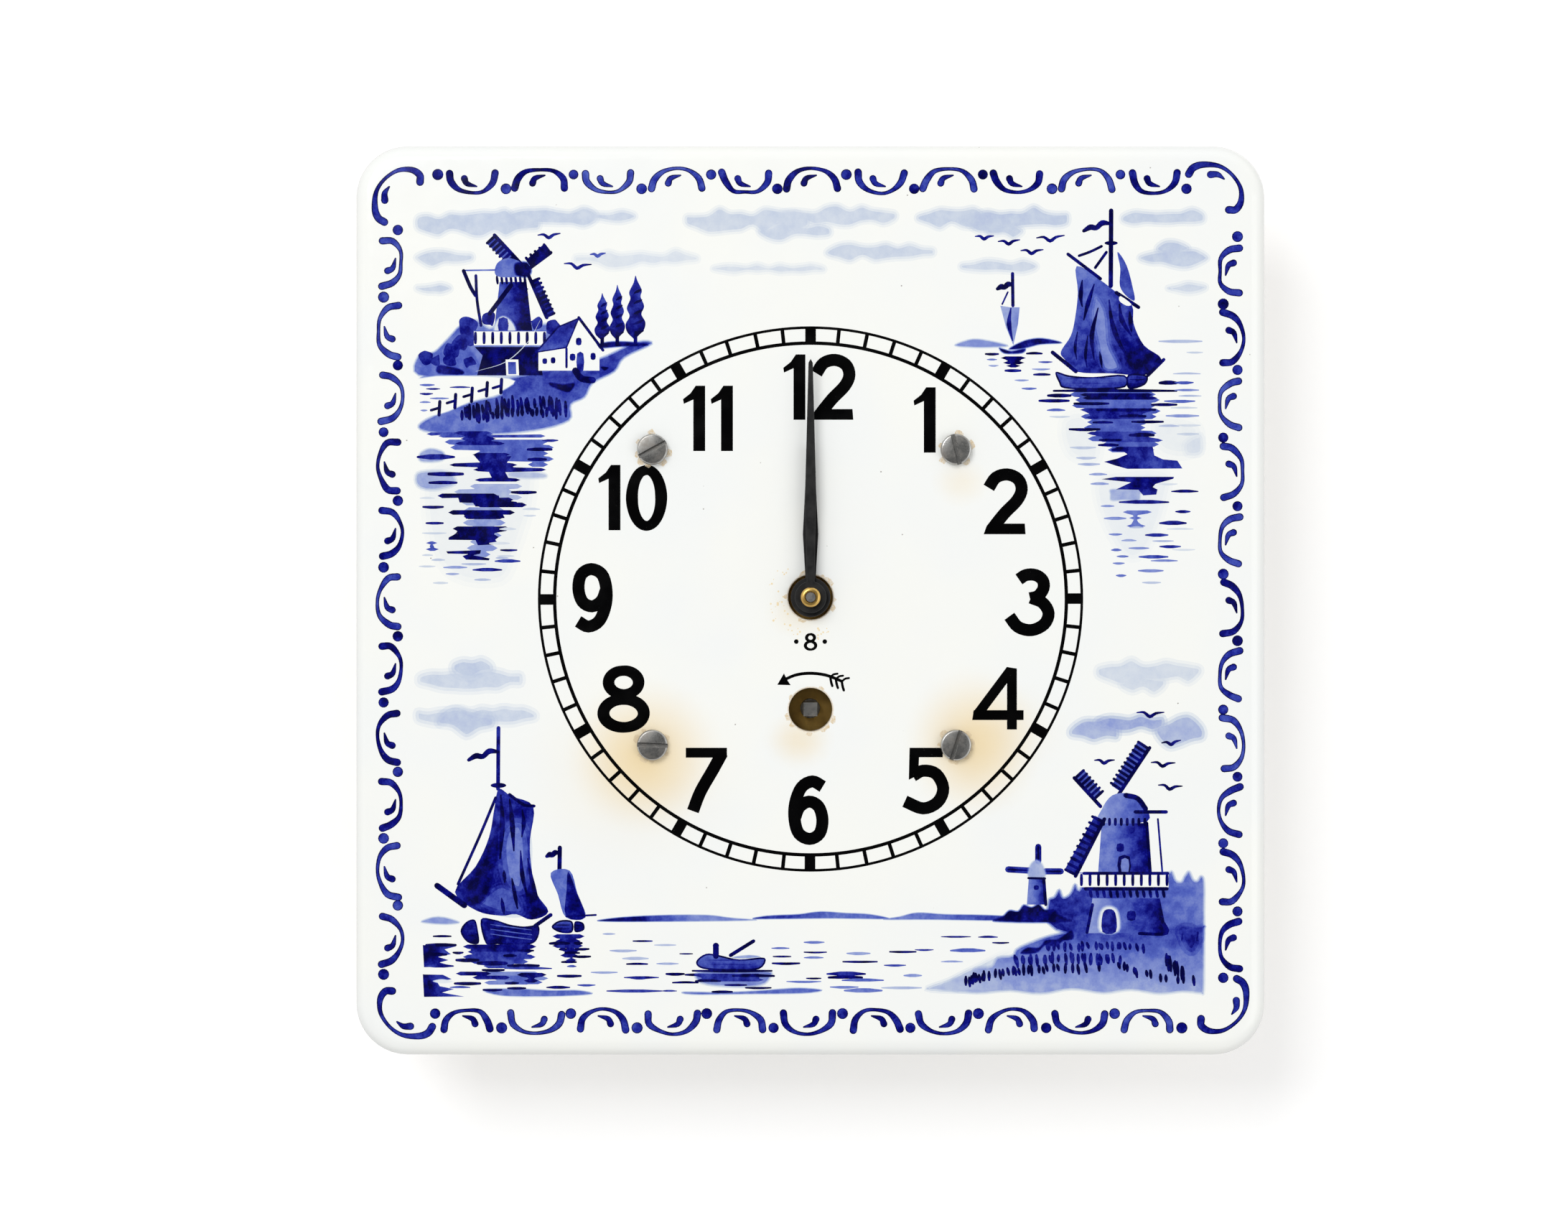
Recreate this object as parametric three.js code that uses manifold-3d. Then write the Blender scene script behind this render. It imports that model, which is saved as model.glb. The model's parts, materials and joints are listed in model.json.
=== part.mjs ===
// A square delft-pattern wall clock: a glazed ceramic dial plate that carries a round tin case
// with an eight-day spring movement, its motion work and two hands.
// Millimetres. The group is built looking at the dial: x to the right, y up, z towards the viewer,
// with z = 0 on the wall and the hand arbor on the z axis. The last line stands it upright.
import * as THREE from "three";
import { mergeVertices } from "three/addons/utils/BufferGeometryUtils.js";
import Module from "manifold-3d";

const wasm = await Module();
wasm.setup();

// Driving dimensions of the dial plate
const plateSide = 230;
const plateThickness = 7;
const plateRimHeight = 3;
const plateRimWidth = 10;
const plateCornerRadius = 13;
const plateEdgeRound = 4;
const plateFootInset = 1.2;
const plateCentreBelowArbor = 0.8;
const arborHoleRadius = 5.65;
const windingHoleRadius = 5.5;
const screwHoleRadius = 2.5;
const screwPatternShiftX = -1.6;

// Depths, counted from the wall
const wallToCase = 1.5;
const caseSheet = 0.6;
const footHeight = 3.9;
const movementPlateThickness = 1.5;
const platesApart = 22;
const motionGap = 8;
const gasketThickness = 0.5;
const flangeSheet = 0.6;

// Case, hanger and fasteners
const caseRadius = 48;
const flangeWidth = 10.5;
const screwShareOfFlange = 0.52;
const screwBearing = THREE.MathUtils.degToRad(44.24);
const hangerWidth = 22;
const hangerThickness = wallToCase - 0.05;
const hangerAboveKeyhole = 16;
const hangerBottom = -14;
const keyholeHeadRadius = 4.6;
const keyholeSlotRadius = 2.3;
const keyholeAboveCase = 8;
const keyholeSlotRise = 4.6;
const rivetRadius = 1.5;
const rivetTailRadius = 2.3;
const rivetHeadRadius = 2.6;
const rivetHeadHeight = 0.8;
const rivetY = [18, 38];
const screwRadius = 1.75;
const screwHeadRadius = 3.9;
const screwHeadHeight = 1.9;
const screwSlotWidth = 1.1;
const screwSlotDepth = 1;
const nutAcrossFlats = 7;
const nutHeight = 2.8;
const movementScrewRadius = 1.1;
const movementScrewHeadRadius = 2.6;
const movementScrewHeadHeight = 1.2;
const movementScrewReach = 2.6;

// Movement frame
const movementRoom = 4;
const pillarInset = 5.96;
const pillarRadius = 2.5;
const pillarNeckRadius = 1.3;
const pillarNutRadius = 2.8;
const pillarNutHeight = 1.8;
const pivotRadius = 0.6;
const arborRadius = 0.85;
const centreArborRadius = 1.25;
const windingDistance = 28.4;
const fit = 0.05;
const seat = 0.04;

// Wheel train. Each mesh has a module and two tooth counts; the wheel drives the smaller pinion.
const greatMesh = { module: 0.55, wheel: 56, pinion: 8 };
const centreMesh = { module: 0.5, wheel: 48, pinion: 8 };
const thirdMesh = { module: 0.38, wheel: 64, pinion: 8 };
const fourthMesh = { module: 0.36, wheel: 60, pinion: 8 };
const escapeMesh = { module: 0.33, wheel: 60, pinion: 6 };
const minuteMesh = { module: 0.5, wheel: 30, pinion: 10 };
const hourMesh = { module: 0.4, wheel: 40, pinion: 10 };
const fourthMeshOpening = 1;
const wheelThickness = 1;
const greatWheelThickness = 1.5;
const wheelRimWidth = 1.6;
const wheelHubRadius = 2.8;
const pinionOverhang = 0.4;

// Mainspring, click work, escapement and balance
const windingArborRadius = 2.5;
const windingHubRadius = 2.9;
const windingPivotRadius = 1.4;
const windingSquare = 3.5;
const windingSquareBelowFront = 4.6;
const springHeight = 11.5;
const springInner = 3.5;
const springOuter = 14;
const springTurns = 6;
const springStrip = 0.5;
const ratchetTeeth = 24;
const ratchetRadius = 7.5;
const ratchetToothDepth = 1;
const ratchetThickness = 1.4;
const clickPivot = [9.5, -7];
const clickBossRadius = 2.2;
const clickScrewRadius = 1;
const clickSpringPost = [12.7, 2];
const clickSpringPostRadius = 0.8;
const escapeTeeth = 15;
const escapeRadius = 5;
const leverArmDistance = 6.6;
const leverForkDistance = 8;
const balanceRadius = 7.1;
const balanceRimWidth = 1.4;
const balanceThickness = 1.4;
const rollerRadius = 2.6;
const impulsePinRadius = 0.35;
const impulsePinOffset = 2;
const hairspringRadius = 4.8;
const hairspringTurns = 4;
const hairspringStrip = 0.25;

// Hands, all standing at twelve
const minuteHandLength = 60;
const hourHandLength = 38;
const handThickness = 0.5;
const handGap = 1.2;
const hourPipeWall = 0.6;
const minuteStudRadius = 0.9;
const minuteStudHeadRadius = 1.5;
const handNutRadius = 2.5;
const handNutHeight = 2.2;
const hourBossRadius = 5;
const minuteBossRadius = 4;

const caseSegments = 32;
const roundSegments = 20;
const fineSegments = 12;

// How far the wheels stand behind the front movement plate, and ahead of it
const clickDepth = 2.4;
const centreWheelDepth = 2;
const greatWheelDepth = 4.3;
const springDepth = 16.3;
const escapeWheelDepth = 6;
const rollerDepth = 8;
const thirdWheelDepth = 10;
const balanceDepth = 11.5;
const fourthWheelDepth = 14;
const hairspringDepth = 14.3;
const intermediateWheelDepth = 18.4;
const minuteWheelAhead = 0.8;
const hourWheelAhead = 3;

// Sizes that those above give
const flangeRadius = caseRadius + flangeWidth;
const screwCircleRadius = caseRadius + screwShareOfFlange * flangeWidth;
const movementRadius = caseRadius - movementRoom;
const pillarSpacing = (movementRadius - pillarInset) * Math.SQRT2;
const keyholeY = caseRadius + keyholeAboveCase;
const hangerTop = keyholeY + hangerAboveKeyhole;

// Planes that the depths above give
const caseBack = wallToCase;
const caseFloor = caseBack + caseSheet;
const backPlateRear = caseFloor + footHeight;
const backPlateFront = backPlateRear + movementPlateThickness;
const frontPlateRear = backPlateFront + platesApart;
const frontPlateFront = frontPlateRear + movementPlateThickness;
const plateBack = frontPlateFront + motionGap;
const plateFront = plateBack + plateThickness;
const rimBack = plateBack - plateRimHeight;
const flangeFront = plateBack - gasketThickness;
const hourHandZ = plateFront + 1.5;
const minuteHandZ = hourHandZ + handThickness + handGap;

const paint = (color, roughness, metalness) =>
  new THREE.MeshStandardMaterial({ color, roughness, metalness });
const glaze = paint(0xf3f3ee, 0.15, 0);
const tin = paint(0xa9aaa6, 0.45, 0.9);
const steel = paint(0x8d9094, 0.35, 0.9);
const brass = paint(0xb8944a, 0.35, 0.9);
const blackSteel = paint(0x111114, 0.4, 0.3);
const blueSteel = paint(0x24365e, 0.3, 0.8);
const fibre = paint(0x7a5a3c, 0.8, 0);

const clock = new THREE.Group();

function addPart(name, geometry, material) {
  const mesh = new THREE.Mesh(geometry, material);
  mesh.name = name;
  clock.add(mesh);
  return mesh;
}

// Shared vertices are merged, so that the surface closes and can be cut or joined
function toSolid(geometry) {
  const bare = new THREE.BufferGeometry();
  const source = geometry.index ? geometry.toNonIndexed() : geometry;
  bare.setAttribute("position", source.getAttribute("position").clone());
  const merged = mergeVertices(bare, 1e-4);
  return new wasm.Manifold(
    new wasm.Mesh({
      numProp: 3,
      vertProperties: new Float32Array(merged.attributes.position.array),
      triVerts: new Uint32Array(merged.index.array),
    }),
  );
}

function toGeometry(solid) {
  const mesh = solid.getMesh();
  const geometry = new THREE.BufferGeometry();
  geometry.setAttribute("position", new THREE.BufferAttribute(new Float32Array(mesh.vertProperties), 3));
  geometry.setIndex(new THREE.BufferAttribute(new Uint32Array(mesh.triVerts), 1));
  return geometry;
}

const cut = (body, ...tools) =>
  toGeometry(tools.reduce((rest, tool) => rest.subtract(toSolid(tool)), toSolid(body)));
const join = (body, ...others) =>
  toGeometry(others.reduce((whole, other) => whole.add(toSolid(other)), toSolid(body)));

// A flat shape given thickness between two depths
function slab(shape, low, high) {
  const options = { depth: high - low, bevelEnabled: false, curveSegments: 8 };
  return new THREE.ExtrudeGeometry(shape, options).translate(0, 0, low);
}

function rod(radius, low, high, x = 0, y = 0, segments = fineSegments) {
  const cylinder = new THREE.CylinderGeometry(radius, radius, high - low, segments);
  return cylinder.rotateX(Math.PI / 2).translate(x, y, (low + high) / 2);
}

function block(width, height, low, high, x = 0, y = 0) {
  return new THREE.BoxGeometry(width, height, high - low).translate(x, y, (low + high) / 2);
}

// A profile of [radius, depth] points turned about the z axis
function turned(profile, x = 0, y = 0, segments = fineSegments) {
  const points = profile.map(([radius, depth]) => new THREE.Vector2(radius, depth));
  return new THREE.LatheGeometry(points, segments).rotateX(Math.PI / 2).translate(x, y, 0);
}

// A stepped shaft: sections of [radius, low, high] that follow each other along the axis
function shaft(sections, x, y, segments = 12) {
  const profile = [[0, sections[0][1]]];
  for (const [radius, low, high] of sections) profile.push([radius, low], [radius, high]);
  profile.push([0, sections.at(-1)[2]]);
  return turned(profile, x, y, segments);
}

// Outlines run anticlockwise and the holes in them clockwise
function ordered(points, clockwise) {
  const vectors = points.map(([x, y]) => new THREE.Vector2(x, y));
  return THREE.ShapeUtils.isClockWise(vectors) === clockwise ? vectors : vectors.reverse();
}

const polygon = (points) => new THREE.Shape(ordered(points, false));
const addHole = (shape, points) => shape.holes.push(new THREE.Path(ordered(points, true)));
const polar = (radius, angle) => [radius * Math.cos(angle), radius * Math.sin(angle)];
const shifted = ([x, y], [dx, dy]) => [x + dx, y + dy];

function ringPoints(radius, segments, x = 0, y = 0) {
  const points = [];
  const step = (2 * Math.PI) / segments;
  for (let i = 0; i < segments; i++) points.push(shifted(polar(radius, i * step), [x, y]));
  return points;
}

const circle = (radius, segments = roundSegments) => polygon(ringPoints(radius, segments));

function roundHole(shape, radius, x = 0, y = 0, segments = roundSegments) {
  addHole(shape, ringPoints(radius, segments, x, y));
}

// Wheel teeth taper to a narrow tip
function wheelShape({ module, wheel }, phase) {
  const pitch = (2 * Math.PI) / wheel;
  const pitchRadius = (module * wheel) / 2;
  const tip = pitchRadius + 0.85 * module;
  const root = pitchRadius - 1.1 * module;
  const points = [];
  for (let i = 0; i < wheel; i++) {
    const middle = phase + i * pitch;
    points.push(
      polar(root, middle - 0.29 * pitch),
      polar(tip, middle - 0.04 * pitch),
      polar(tip, middle + 0.04 * pitch),
      polar(root, middle + 0.29 * pitch),
    );
  }
  return polygon(points);
}

// Pinion leaves are slimmer than the gaps that they run in
function pinionShape({ module, pinion }, phase) {
  const pitch = (2 * Math.PI) / pinion;
  const pitchRadius = (module * pinion) / 2;
  const tip = pitchRadius + 0.55 * module;
  const root = pitchRadius - 1.15 * module;
  const points = [];
  for (let i = 0; i < pinion; i++) {
    const middle = phase + i * pitch;
    points.push(
      polar(root, middle - 0.2 * pitch),
      polar(tip, middle - 0.06 * pitch),
      polar(tip, middle + 0.06 * pitch),
      polar(root, middle + 0.2 * pitch),
    );
  }
  return polygon(points);
}

// Windows between the spokes of a wheel, from its hub to its rim
function crossings(shape, inner, outer, spokes = 5, spokeWidth = 1.1) {
  for (let i = 0; i < spokes; i++) {
    const start = (2 * Math.PI * i) / spokes;
    const end = start + (2 * Math.PI) / spokes;
    const points = [];
    for (const [radius, from, to] of [[outer, start, end], [inner, end, start]]) {
      const trim = spokeWidth / 2 / radius;
      const sign = from < to ? 1 : -1;
      for (let k = 0; k <= 2; k++) {
        const angle = from + sign * trim + ((to - from - 2 * sign * trim) * k) / 2;
        points.push(polar(radius, angle));
      }
    }
    addHole(shape, points);
  }
}

const meshDistance = ({ module, wheel, pinion }) => (module * (wheel + pinion)) / 2;
const wheelTip = ({ module, wheel }) => (module * wheel) / 2 + 0.85 * module;
const pinionTip = ({ module, pinion }) => (module * pinion) / 2 + 0.55 * module;
const bearing = ([ax, ay], [bx, by]) => Math.atan2(by - ay, bx - ax);

// A wheel's gap and a pinion's leaf both lie on the line between their centres
const gapTowards = (teeth, direction) => direction + Math.PI / teeth;

function wheelNode(name, mesh, at, towards, low, bore) {
  const shape = wheelShape(mesh, gapTowards(mesh.wheel, bearing(at, towards)));
  roundHole(shape, bore, 0, 0, 12);
  const rimInside = (mesh.module * mesh.wheel) / 2 - 1.1 * mesh.module - wheelRimWidth;
  crossings(shape, wheelHubRadius, rimInside);
  addPart(name, slab(shape, low, low + wheelThickness).translate(at[0], at[1], 0), brass);
}

// An arbor with its pinion cut from the same steel
function pinionArbor(name, mesh, at, from, sections, pinionLow, pinionHigh) {
  const leaves = slab(pinionShape(mesh, bearing(at, from)), pinionLow, pinionHigh);
  addPart(name, join(shaft(sections, at[0], at[1]), leaves.translate(at[0], at[1], 0)), steel);
}

// Centres of the train, seen from the front
const centre = [0, 0];
const windingAt = [0, -windingDistance];
const intermediateAt = crossingPoint(windingAt, meshDistance(greatMesh), centre, meshDistance(centreMesh));
const thirdAt = polar(meshDistance(thirdMesh), THREE.MathUtils.degToRad(140));
const openFourthDistance = wheelTip(fourthMesh) + pinionTip(fourthMesh) + 0.25;
const fourthAt = shifted(polar(openFourthDistance, THREE.MathUtils.degToRad(35)), thirdAt);
const escapeAt = shifted(polar(meshDistance(escapeMesh), THREE.MathUtils.degToRad(-15)), fourthAt);
const leverDirection = THREE.MathUtils.degToRad(-40);
const leverAt = shifted(polar(leverArmDistance, leverDirection), escapeAt);
const balanceAt = shifted(polar(leverForkDistance, leverDirection), leverAt);
const minuteWheelAt = polar(meshDistance(minuteMesh), THREE.MathUtils.degToRad(20));

// The left-hand point that lies at two given distances from two centres
function crossingPoint([ax, ay], ra, [bx, by], rb) {
  const apart = Math.hypot(bx - ax, by - ay);
  const along = (ra * ra - rb * rb + apart * apart) / (2 * apart);
  const aside = Math.sqrt(ra * ra - along * along);
  const [ux, uy] = [(bx - ax) / apart, (by - ay) / apart];
  return [ax + along * ux - aside * uy, ay + along * uy + aside * ux];
}

const behind = (depth) => frontPlateRear - depth;
const centreWheelLow = behind(centreWheelDepth);
const greatWheelLow = behind(greatWheelDepth);
const springLow = behind(springDepth);
const clickLow = behind(clickDepth);
const thirdWheelLow = behind(thirdWheelDepth);
const escapeWheelLow = behind(escapeWheelDepth);
const balanceLow = behind(balanceDepth);
const fourthWheelLow = behind(fourthWheelDepth);
const hairspringLow = behind(hairspringDepth);
const intermediateWheelLow = behind(intermediateWheelDepth);
const ahead = (depth) => frontPlateFront + depth;
const minuteWheelLow = ahead(minuteWheelAhead);
const hourWheelLow = ahead(hourWheelAhead);

const screwPlaces = [];
const [screwOffsetX, screwOffsetY] = polar(screwCircleRadius, screwBearing);
for (const sy of [1, -1])
  for (const sx of [-1, 1]) screwPlaces.push([screwPatternShiftX + sx * screwOffsetX, sy * screwOffsetY]);
const pillarPlaces = [];
for (const sy of [1, -1])
  for (const sx of [-1, 1]) pillarPlaces.push([(sx * pillarSpacing) / 2, (sy * pillarSpacing) / 2]);

// Rings of a rounded square, each drawn in from the side by its own inset
function roundedSquareRings(side, cornerRadius, rings, centreY, cornerSteps = 6) {
  const positions = [];
  const outlines = rings.map(([inset, depth]) => {
    const half = side / 2 - inset;
    const radius = Math.max(cornerRadius - inset, 0.5);
    const outline = [];
    for (let corner = 0; corner < 4; corner++) {
      const start = (corner * Math.PI) / 2;
      const [cx, cy] = [Math.sign(Math.cos(start + 0.7)), Math.sign(Math.sin(start + 0.7))];
      for (let k = 0; k <= cornerSteps; k++) {
        const [dx, dy] = polar(radius, start + (k / cornerSteps) * (Math.PI / 2));
        outline.push([cx * (half - radius) + dx, centreY + cy * (half - radius) + dy, depth]);
      }
    }
    return outline;
  });
  const count = outlines[0].length;
  const face = (...corners) => corners.forEach((corner) => positions.push(...corner));
  for (let r = 0; r + 1 < outlines.length; r++)
    for (let i = 0; i < count; i++) {
      const j = (i + 1) % count;
      face(outlines[r][i], outlines[r][j], outlines[r + 1][j]);
      face(outlines[r][i], outlines[r + 1][j], outlines[r + 1][i]);
    }
  for (let i = 1; i + 1 < count; i++) {
    face(outlines[0][0], outlines[0][i + 1], outlines[0][i]);
    face(outlines.at(-1)[0], outlines.at(-1)[i], outlines.at(-1)[i + 1]);
  }
  const geometry = new THREE.BufferGeometry();
  geometry.setAttribute("position", new THREE.Float32BufferAttribute(positions, 3));
  return geometry;
}

function makeDialPlate() {
  const edgeStart = plateFront - plateEdgeRound;
  const rings = [[plateFootInset, rimBack], [0, rimBack + plateFootInset], [0, edgeStart]];
  for (const share of [0.35, 0.7, 1]) {
    const angle = (share * Math.PI) / 2;
    rings.push([plateEdgeRound * (1 - Math.cos(angle)), edgeStart + plateEdgeRound * Math.sin(angle)]);
  }
  const centreY = -plateCentreBelowArbor;
  const body = roundedSquareRings(plateSide, plateCornerRadius, rings, centreY);
  const pocketSide = plateSide - 2 * plateRimWidth;
  const pocketRings = [[0, rimBack - 1], [0, plateBack]];
  const pocket = roundedSquareRings(pocketSide, plateCornerRadius / 2, pocketRings, centreY, 3);
  const through = (radius, [x, y]) => rod(radius, rimBack - 1, plateFront + 1, x, y, roundSegments);
  const holes = [
    through(arborHoleRadius, centre),
    through(windingHoleRadius, windingAt),
    ...screwPlaces.map((place) => through(screwHoleRadius, place)),
  ];
  addPart("dial_plate", cut(body, pocket, ...holes), glaze);
}

// The tin case is a pressed cup whose flange lies against the gasket
function makeCase() {
  const rimRear = flangeFront - flangeSheet;
  const cup = turned(
    [
      [0, caseBack],
      [caseRadius - 2, caseBack],
      [caseRadius, caseBack + 2],
      [caseRadius, rimRear],
      [flangeRadius, rimRear],
      [flangeRadius, flangeFront],
      [caseRadius - caseSheet, flangeFront],
      [caseRadius - caseSheet, caseFloor + 2],
      [caseRadius - 2 - caseSheet / 2, caseFloor],
      [0, caseFloor],
    ],
    screwPatternShiftX,
    0,
    caseSegments,
  );
  const holes = [
    ...screwPlaces.map(([x, y]) => rod(screwRadius + 0.15, rimRear - 1, flangeFront + 1, x, y)),
    ...pillarPlaces.map(([x, y]) => rod(movementScrewRadius + 0.1, caseBack - 1, caseFloor + 1, x, y)),
    ...rivetY.map((y) => rod(rivetRadius, caseBack - 1, caseFloor + 1, 0, y)),
  ];
  addPart("movement_case", cut(cup, ...holes), tin);

  const ring = circle(flangeRadius - 0.5, caseSegments);
  roundHole(ring, caseRadius - caseSheet, 0, 0, caseSegments);
  for (const [x, y] of screwPlaces)
    roundHole(ring, screwRadius + 0.15, x - screwPatternShiftX, y, fineSegments);
  const gasket = slab(ring, flangeFront + seat, plateBack - seat);
  addPart("fibre_gasket", gasket.translate(screwPatternShiftX, 0, 0), fibre);
}

function makeHanger() {
  const half = hangerWidth / 2;
  const shape = polygon([
    [-half, hangerBottom],
    [half, hangerBottom],
    [half, hangerTop - 5],
    [half - 5, hangerTop],
    [5 - half, hangerTop],
    [-half, hangerTop - 5],
  ]);
  const keyhole = [];
  const neck = Math.asin(keyholeSlotRadius / keyholeHeadRadius);
  for (let k = 0; k <= 12; k++) {
    const angle = Math.PI / 2 - neck - (k / 12) * (2 * Math.PI - 2 * neck);
    const [x, y] = polar(keyholeHeadRadius, angle);
    keyhole.push([x, keyholeY + y]);
  }
  const slotTop = keyholeY + keyholeHeadRadius + keyholeSlotRise;
  for (let k = 0; k <= 6; k++) {
    const [x, y] = polar(keyholeSlotRadius, Math.PI - (k / 6) * Math.PI);
    keyhole.push([x, slotTop - keyholeSlotRadius + y]);
  }
  addHole(shape, keyhole);
  const countersink = (shrink, low, high) => [
    [0, low],
    [rivetTailRadius - shrink, low],
    [rivetTailRadius - shrink, seat],
    [rivetRadius - shrink, hangerThickness * 0.6],
    [rivetRadius - shrink, high],
    [0, high],
  ];
  const seats = rivetY.map((y) => turned(countersink(0, -1, hangerThickness + 1), 0, y));
  addPart("hanger_plate", cut(slab(shape, 0, hangerThickness), ...seats), tin);

  // Each rivet is spread into the countersink and headed inside the case
  rivetY.forEach((y, i) => {
    const headLow = caseFloor + seat;
    const shank = turned(countersink(fit, 0.02, headLow), 0, y);
    const head = rod(rivetHeadRadius, headLow, headLow + rivetHeadHeight, 0, y);
    addPart(`hanger_rivet_${i + 1}`, join(shank, head), steel);
  });
}

// Slotted cheese-head screws pass through the dial plate and take a nut behind the flange
function makeCaseFasteners() {
  const nutTop = flangeFront - flangeSheet - seat;
  screwPlaces.forEach(([x, y], i) => {
    const headLow = plateFront + seat;
    const headHigh = headLow + screwHeadHeight;
    const body = shaft(
      [
        [screwRadius, nutTop - nutHeight - 1, headLow],
        [screwHeadRadius, headLow, headHigh - 0.4],
        [screwHeadRadius - 0.4, headHigh - 0.4, headHigh],
      ],
      x,
      y,
      fineSegments,
    );
    const slot = block(3 * screwHeadRadius, screwSlotWidth, headHigh - screwSlotDepth, headHigh + 1);
    slot.rotateZ(0.5 + 1.3 * i).translate(x, y, 0);
    addPart(`case_screw_${i + 1}`, cut(body, slot), steel);

    const hexagon = circle(nutAcrossFlats / Math.sqrt(3), 6);
    roundHole(hexagon, screwRadius + fit, 0, 0, fineSegments);
    addPart(`case_nut_${i + 1}`, slab(hexagon, nutTop - nutHeight, nutTop).translate(x, y, 0), steel);
  });
}

function makeMovementFrame() {
  const pivots = [intermediateAt, thirdAt, fourthAt, escapeAt, leverAt, balanceAt];
  const plates = [
    ["movement_back_plate", backPlateRear, backPlateFront, windingPivotRadius],
    ["movement_front_plate", frontPlateRear, frontPlateFront, windingArborRadius],
  ];
  for (const [name, low, high, windingRadius] of plates) {
    const shape = circle(movementRadius, caseSegments);
    const bore = (radius, [x, y], segments = 12) => roundHole(shape, radius + fit, x, y, segments);
    bore(centreArborRadius, centre);
    bore(windingRadius, windingAt, roundSegments);
    pivots.forEach((place) => bore(pivotRadius, place));
    pillarPlaces.forEach((place) => bore(pillarNeckRadius, place));
    if (name === "movement_front_plate") bore(minuteStudRadius, minuteWheelAt);
    addPart(name, slab(shape, low + seat, high - seat), brass);
  }
  pillarPlaces.forEach(([x, y], i) => {
    const nutLow = frontPlateFront + seat;
    const pillar = shaft(
      [
        [pillarRadius, caseFloor + seat, backPlateRear],
        [pillarNeckRadius, backPlateRear, backPlateFront],
        [pillarRadius, backPlateFront, frontPlateRear],
        [pillarNeckRadius, frontPlateRear, nutLow + pillarNutHeight + 0.4],
      ],
      x,
      y,
    );
    const threadEnd = caseFloor + movementScrewReach + 0.5;
    const thread = rod(movementScrewRadius + fit, caseFloor - 1, threadEnd, x, y);
    addPart(`pillar_${i + 1}`, cut(pillar, thread), steel);
    const hexagon = circle(pillarNutRadius, 6);
    roundHole(hexagon, pillarNeckRadius + fit, 0, 0, 12);
    addPart(`pillar_nut_${i + 1}`, slab(hexagon, nutLow, nutLow + pillarNutHeight).translate(x, y, 0), brass);

    const screw = shaft(
      [
        [movementScrewHeadRadius, caseBack - seat - movementScrewHeadHeight, caseBack - seat],
        [movementScrewRadius, caseBack - seat, caseFloor + movementScrewReach],
      ],
      x,
      y,
    );
    addPart(`movement_screw_${i + 1}`, screw, steel);
  });
}

// A strip wound outwards clockwise, as a flat outline that ends at a given angle
function spiralPoints(inner, outer, turns, strip, steps, endAngle) {
  const count = turns * steps;
  const side = (offset) => {
    const points = [];
    for (let i = 0; i <= count; i++) {
      const angle = endAngle + ((count - i) * 2 * Math.PI) / steps;
      points.push(polar(inner + offset + ((outer - inner) * i) / count, angle));
    }
    return points;
  };
  return [...side(strip / 2), ...side(-strip / 2).reverse()];
}

// The arbor turns anticlockwise to wind the spring, and the great wheel runs loose on it
function makePowerUnit() {
  const [x, y] = windingAt;
  const bore = windingArborRadius + fit;
  const great = wheelShape(greatMesh, gapTowards(greatMesh.wheel, bearing(windingAt, intermediateAt)));
  roundHole(great, bore);
  roundHole(great, clickScrewRadius + fit, ...clickPivot, fineSegments);
  roundHole(great, clickSpringPostRadius + fit, ...clickSpringPost, fineSegments);
  const greatWheel = slab(great, greatWheelLow, greatWheelLow + greatWheelThickness);
  addPart("great_wheel", greatWheel.translate(x, y, 0), brass);

  // The outer end of the spring leaves its coil along a tangent and loops round a pillar
  const [hookX, hookY] = [pillarPlaces[3][0] - x, pillarPlaces[3][1] - y];
  const hookDistance = Math.hypot(hookX, hookY);
  const leaving = Math.atan2(hookY, hookX) + Math.acos(springOuter / hookDistance);
  const coil = spiralPoints(springInner, springOuter, springTurns, springStrip, 16, leaving);
  const [alongX, alongY] = [Math.sin(leaving), -Math.cos(leaving)];
  const reach = Math.sqrt(hookDistance ** 2 - springOuter ** 2) - pillarRadius - fit - springStrip / 2;
  const edge = (radius, along) => shifted(polar(radius, leaving), [alongX * along, alongY * along]);
  const tail = polygon([
    edge(springOuter - springStrip / 2, -0.3),
    edge(springOuter - springStrip / 2, reach),
    edge(springOuter + springStrip / 2, reach),
    edge(springOuter + springStrip / 2, -0.3),
  ]);
  const loop = circle(pillarRadius + fit + springStrip, fineSegments);
  roundHole(loop, pillarRadius + fit + 0.05, 0, 0, fineSegments);
  const raised = (shape) => slab(shape, springLow, springLow + springHeight);
  const spring = join(raised(polygon(coil)), raised(tail), raised(loop).translate(hookX, hookY, 0));
  addPart("mainspring", spring.translate(x, y, 0), blueSteel);

  const squareTop = plateFront - windingSquareBelowFront;
  const round = shaft(
    [
      [windingPivotRadius, backPlateRear - 0.5, backPlateFront + 0.3],
      [windingHubRadius, backPlateFront + 0.3, greatWheelLow - seat],
      [windingArborRadius, greatWheelLow - seat, ahead(0.4)],
    ],
    x,
    y,
    fineSegments,
  );
  const square = block(windingSquare, windingSquare, ahead(0.2), squareTop, x, y);
  addPart("winding_arbor", join(round, square), steel);
}

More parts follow.
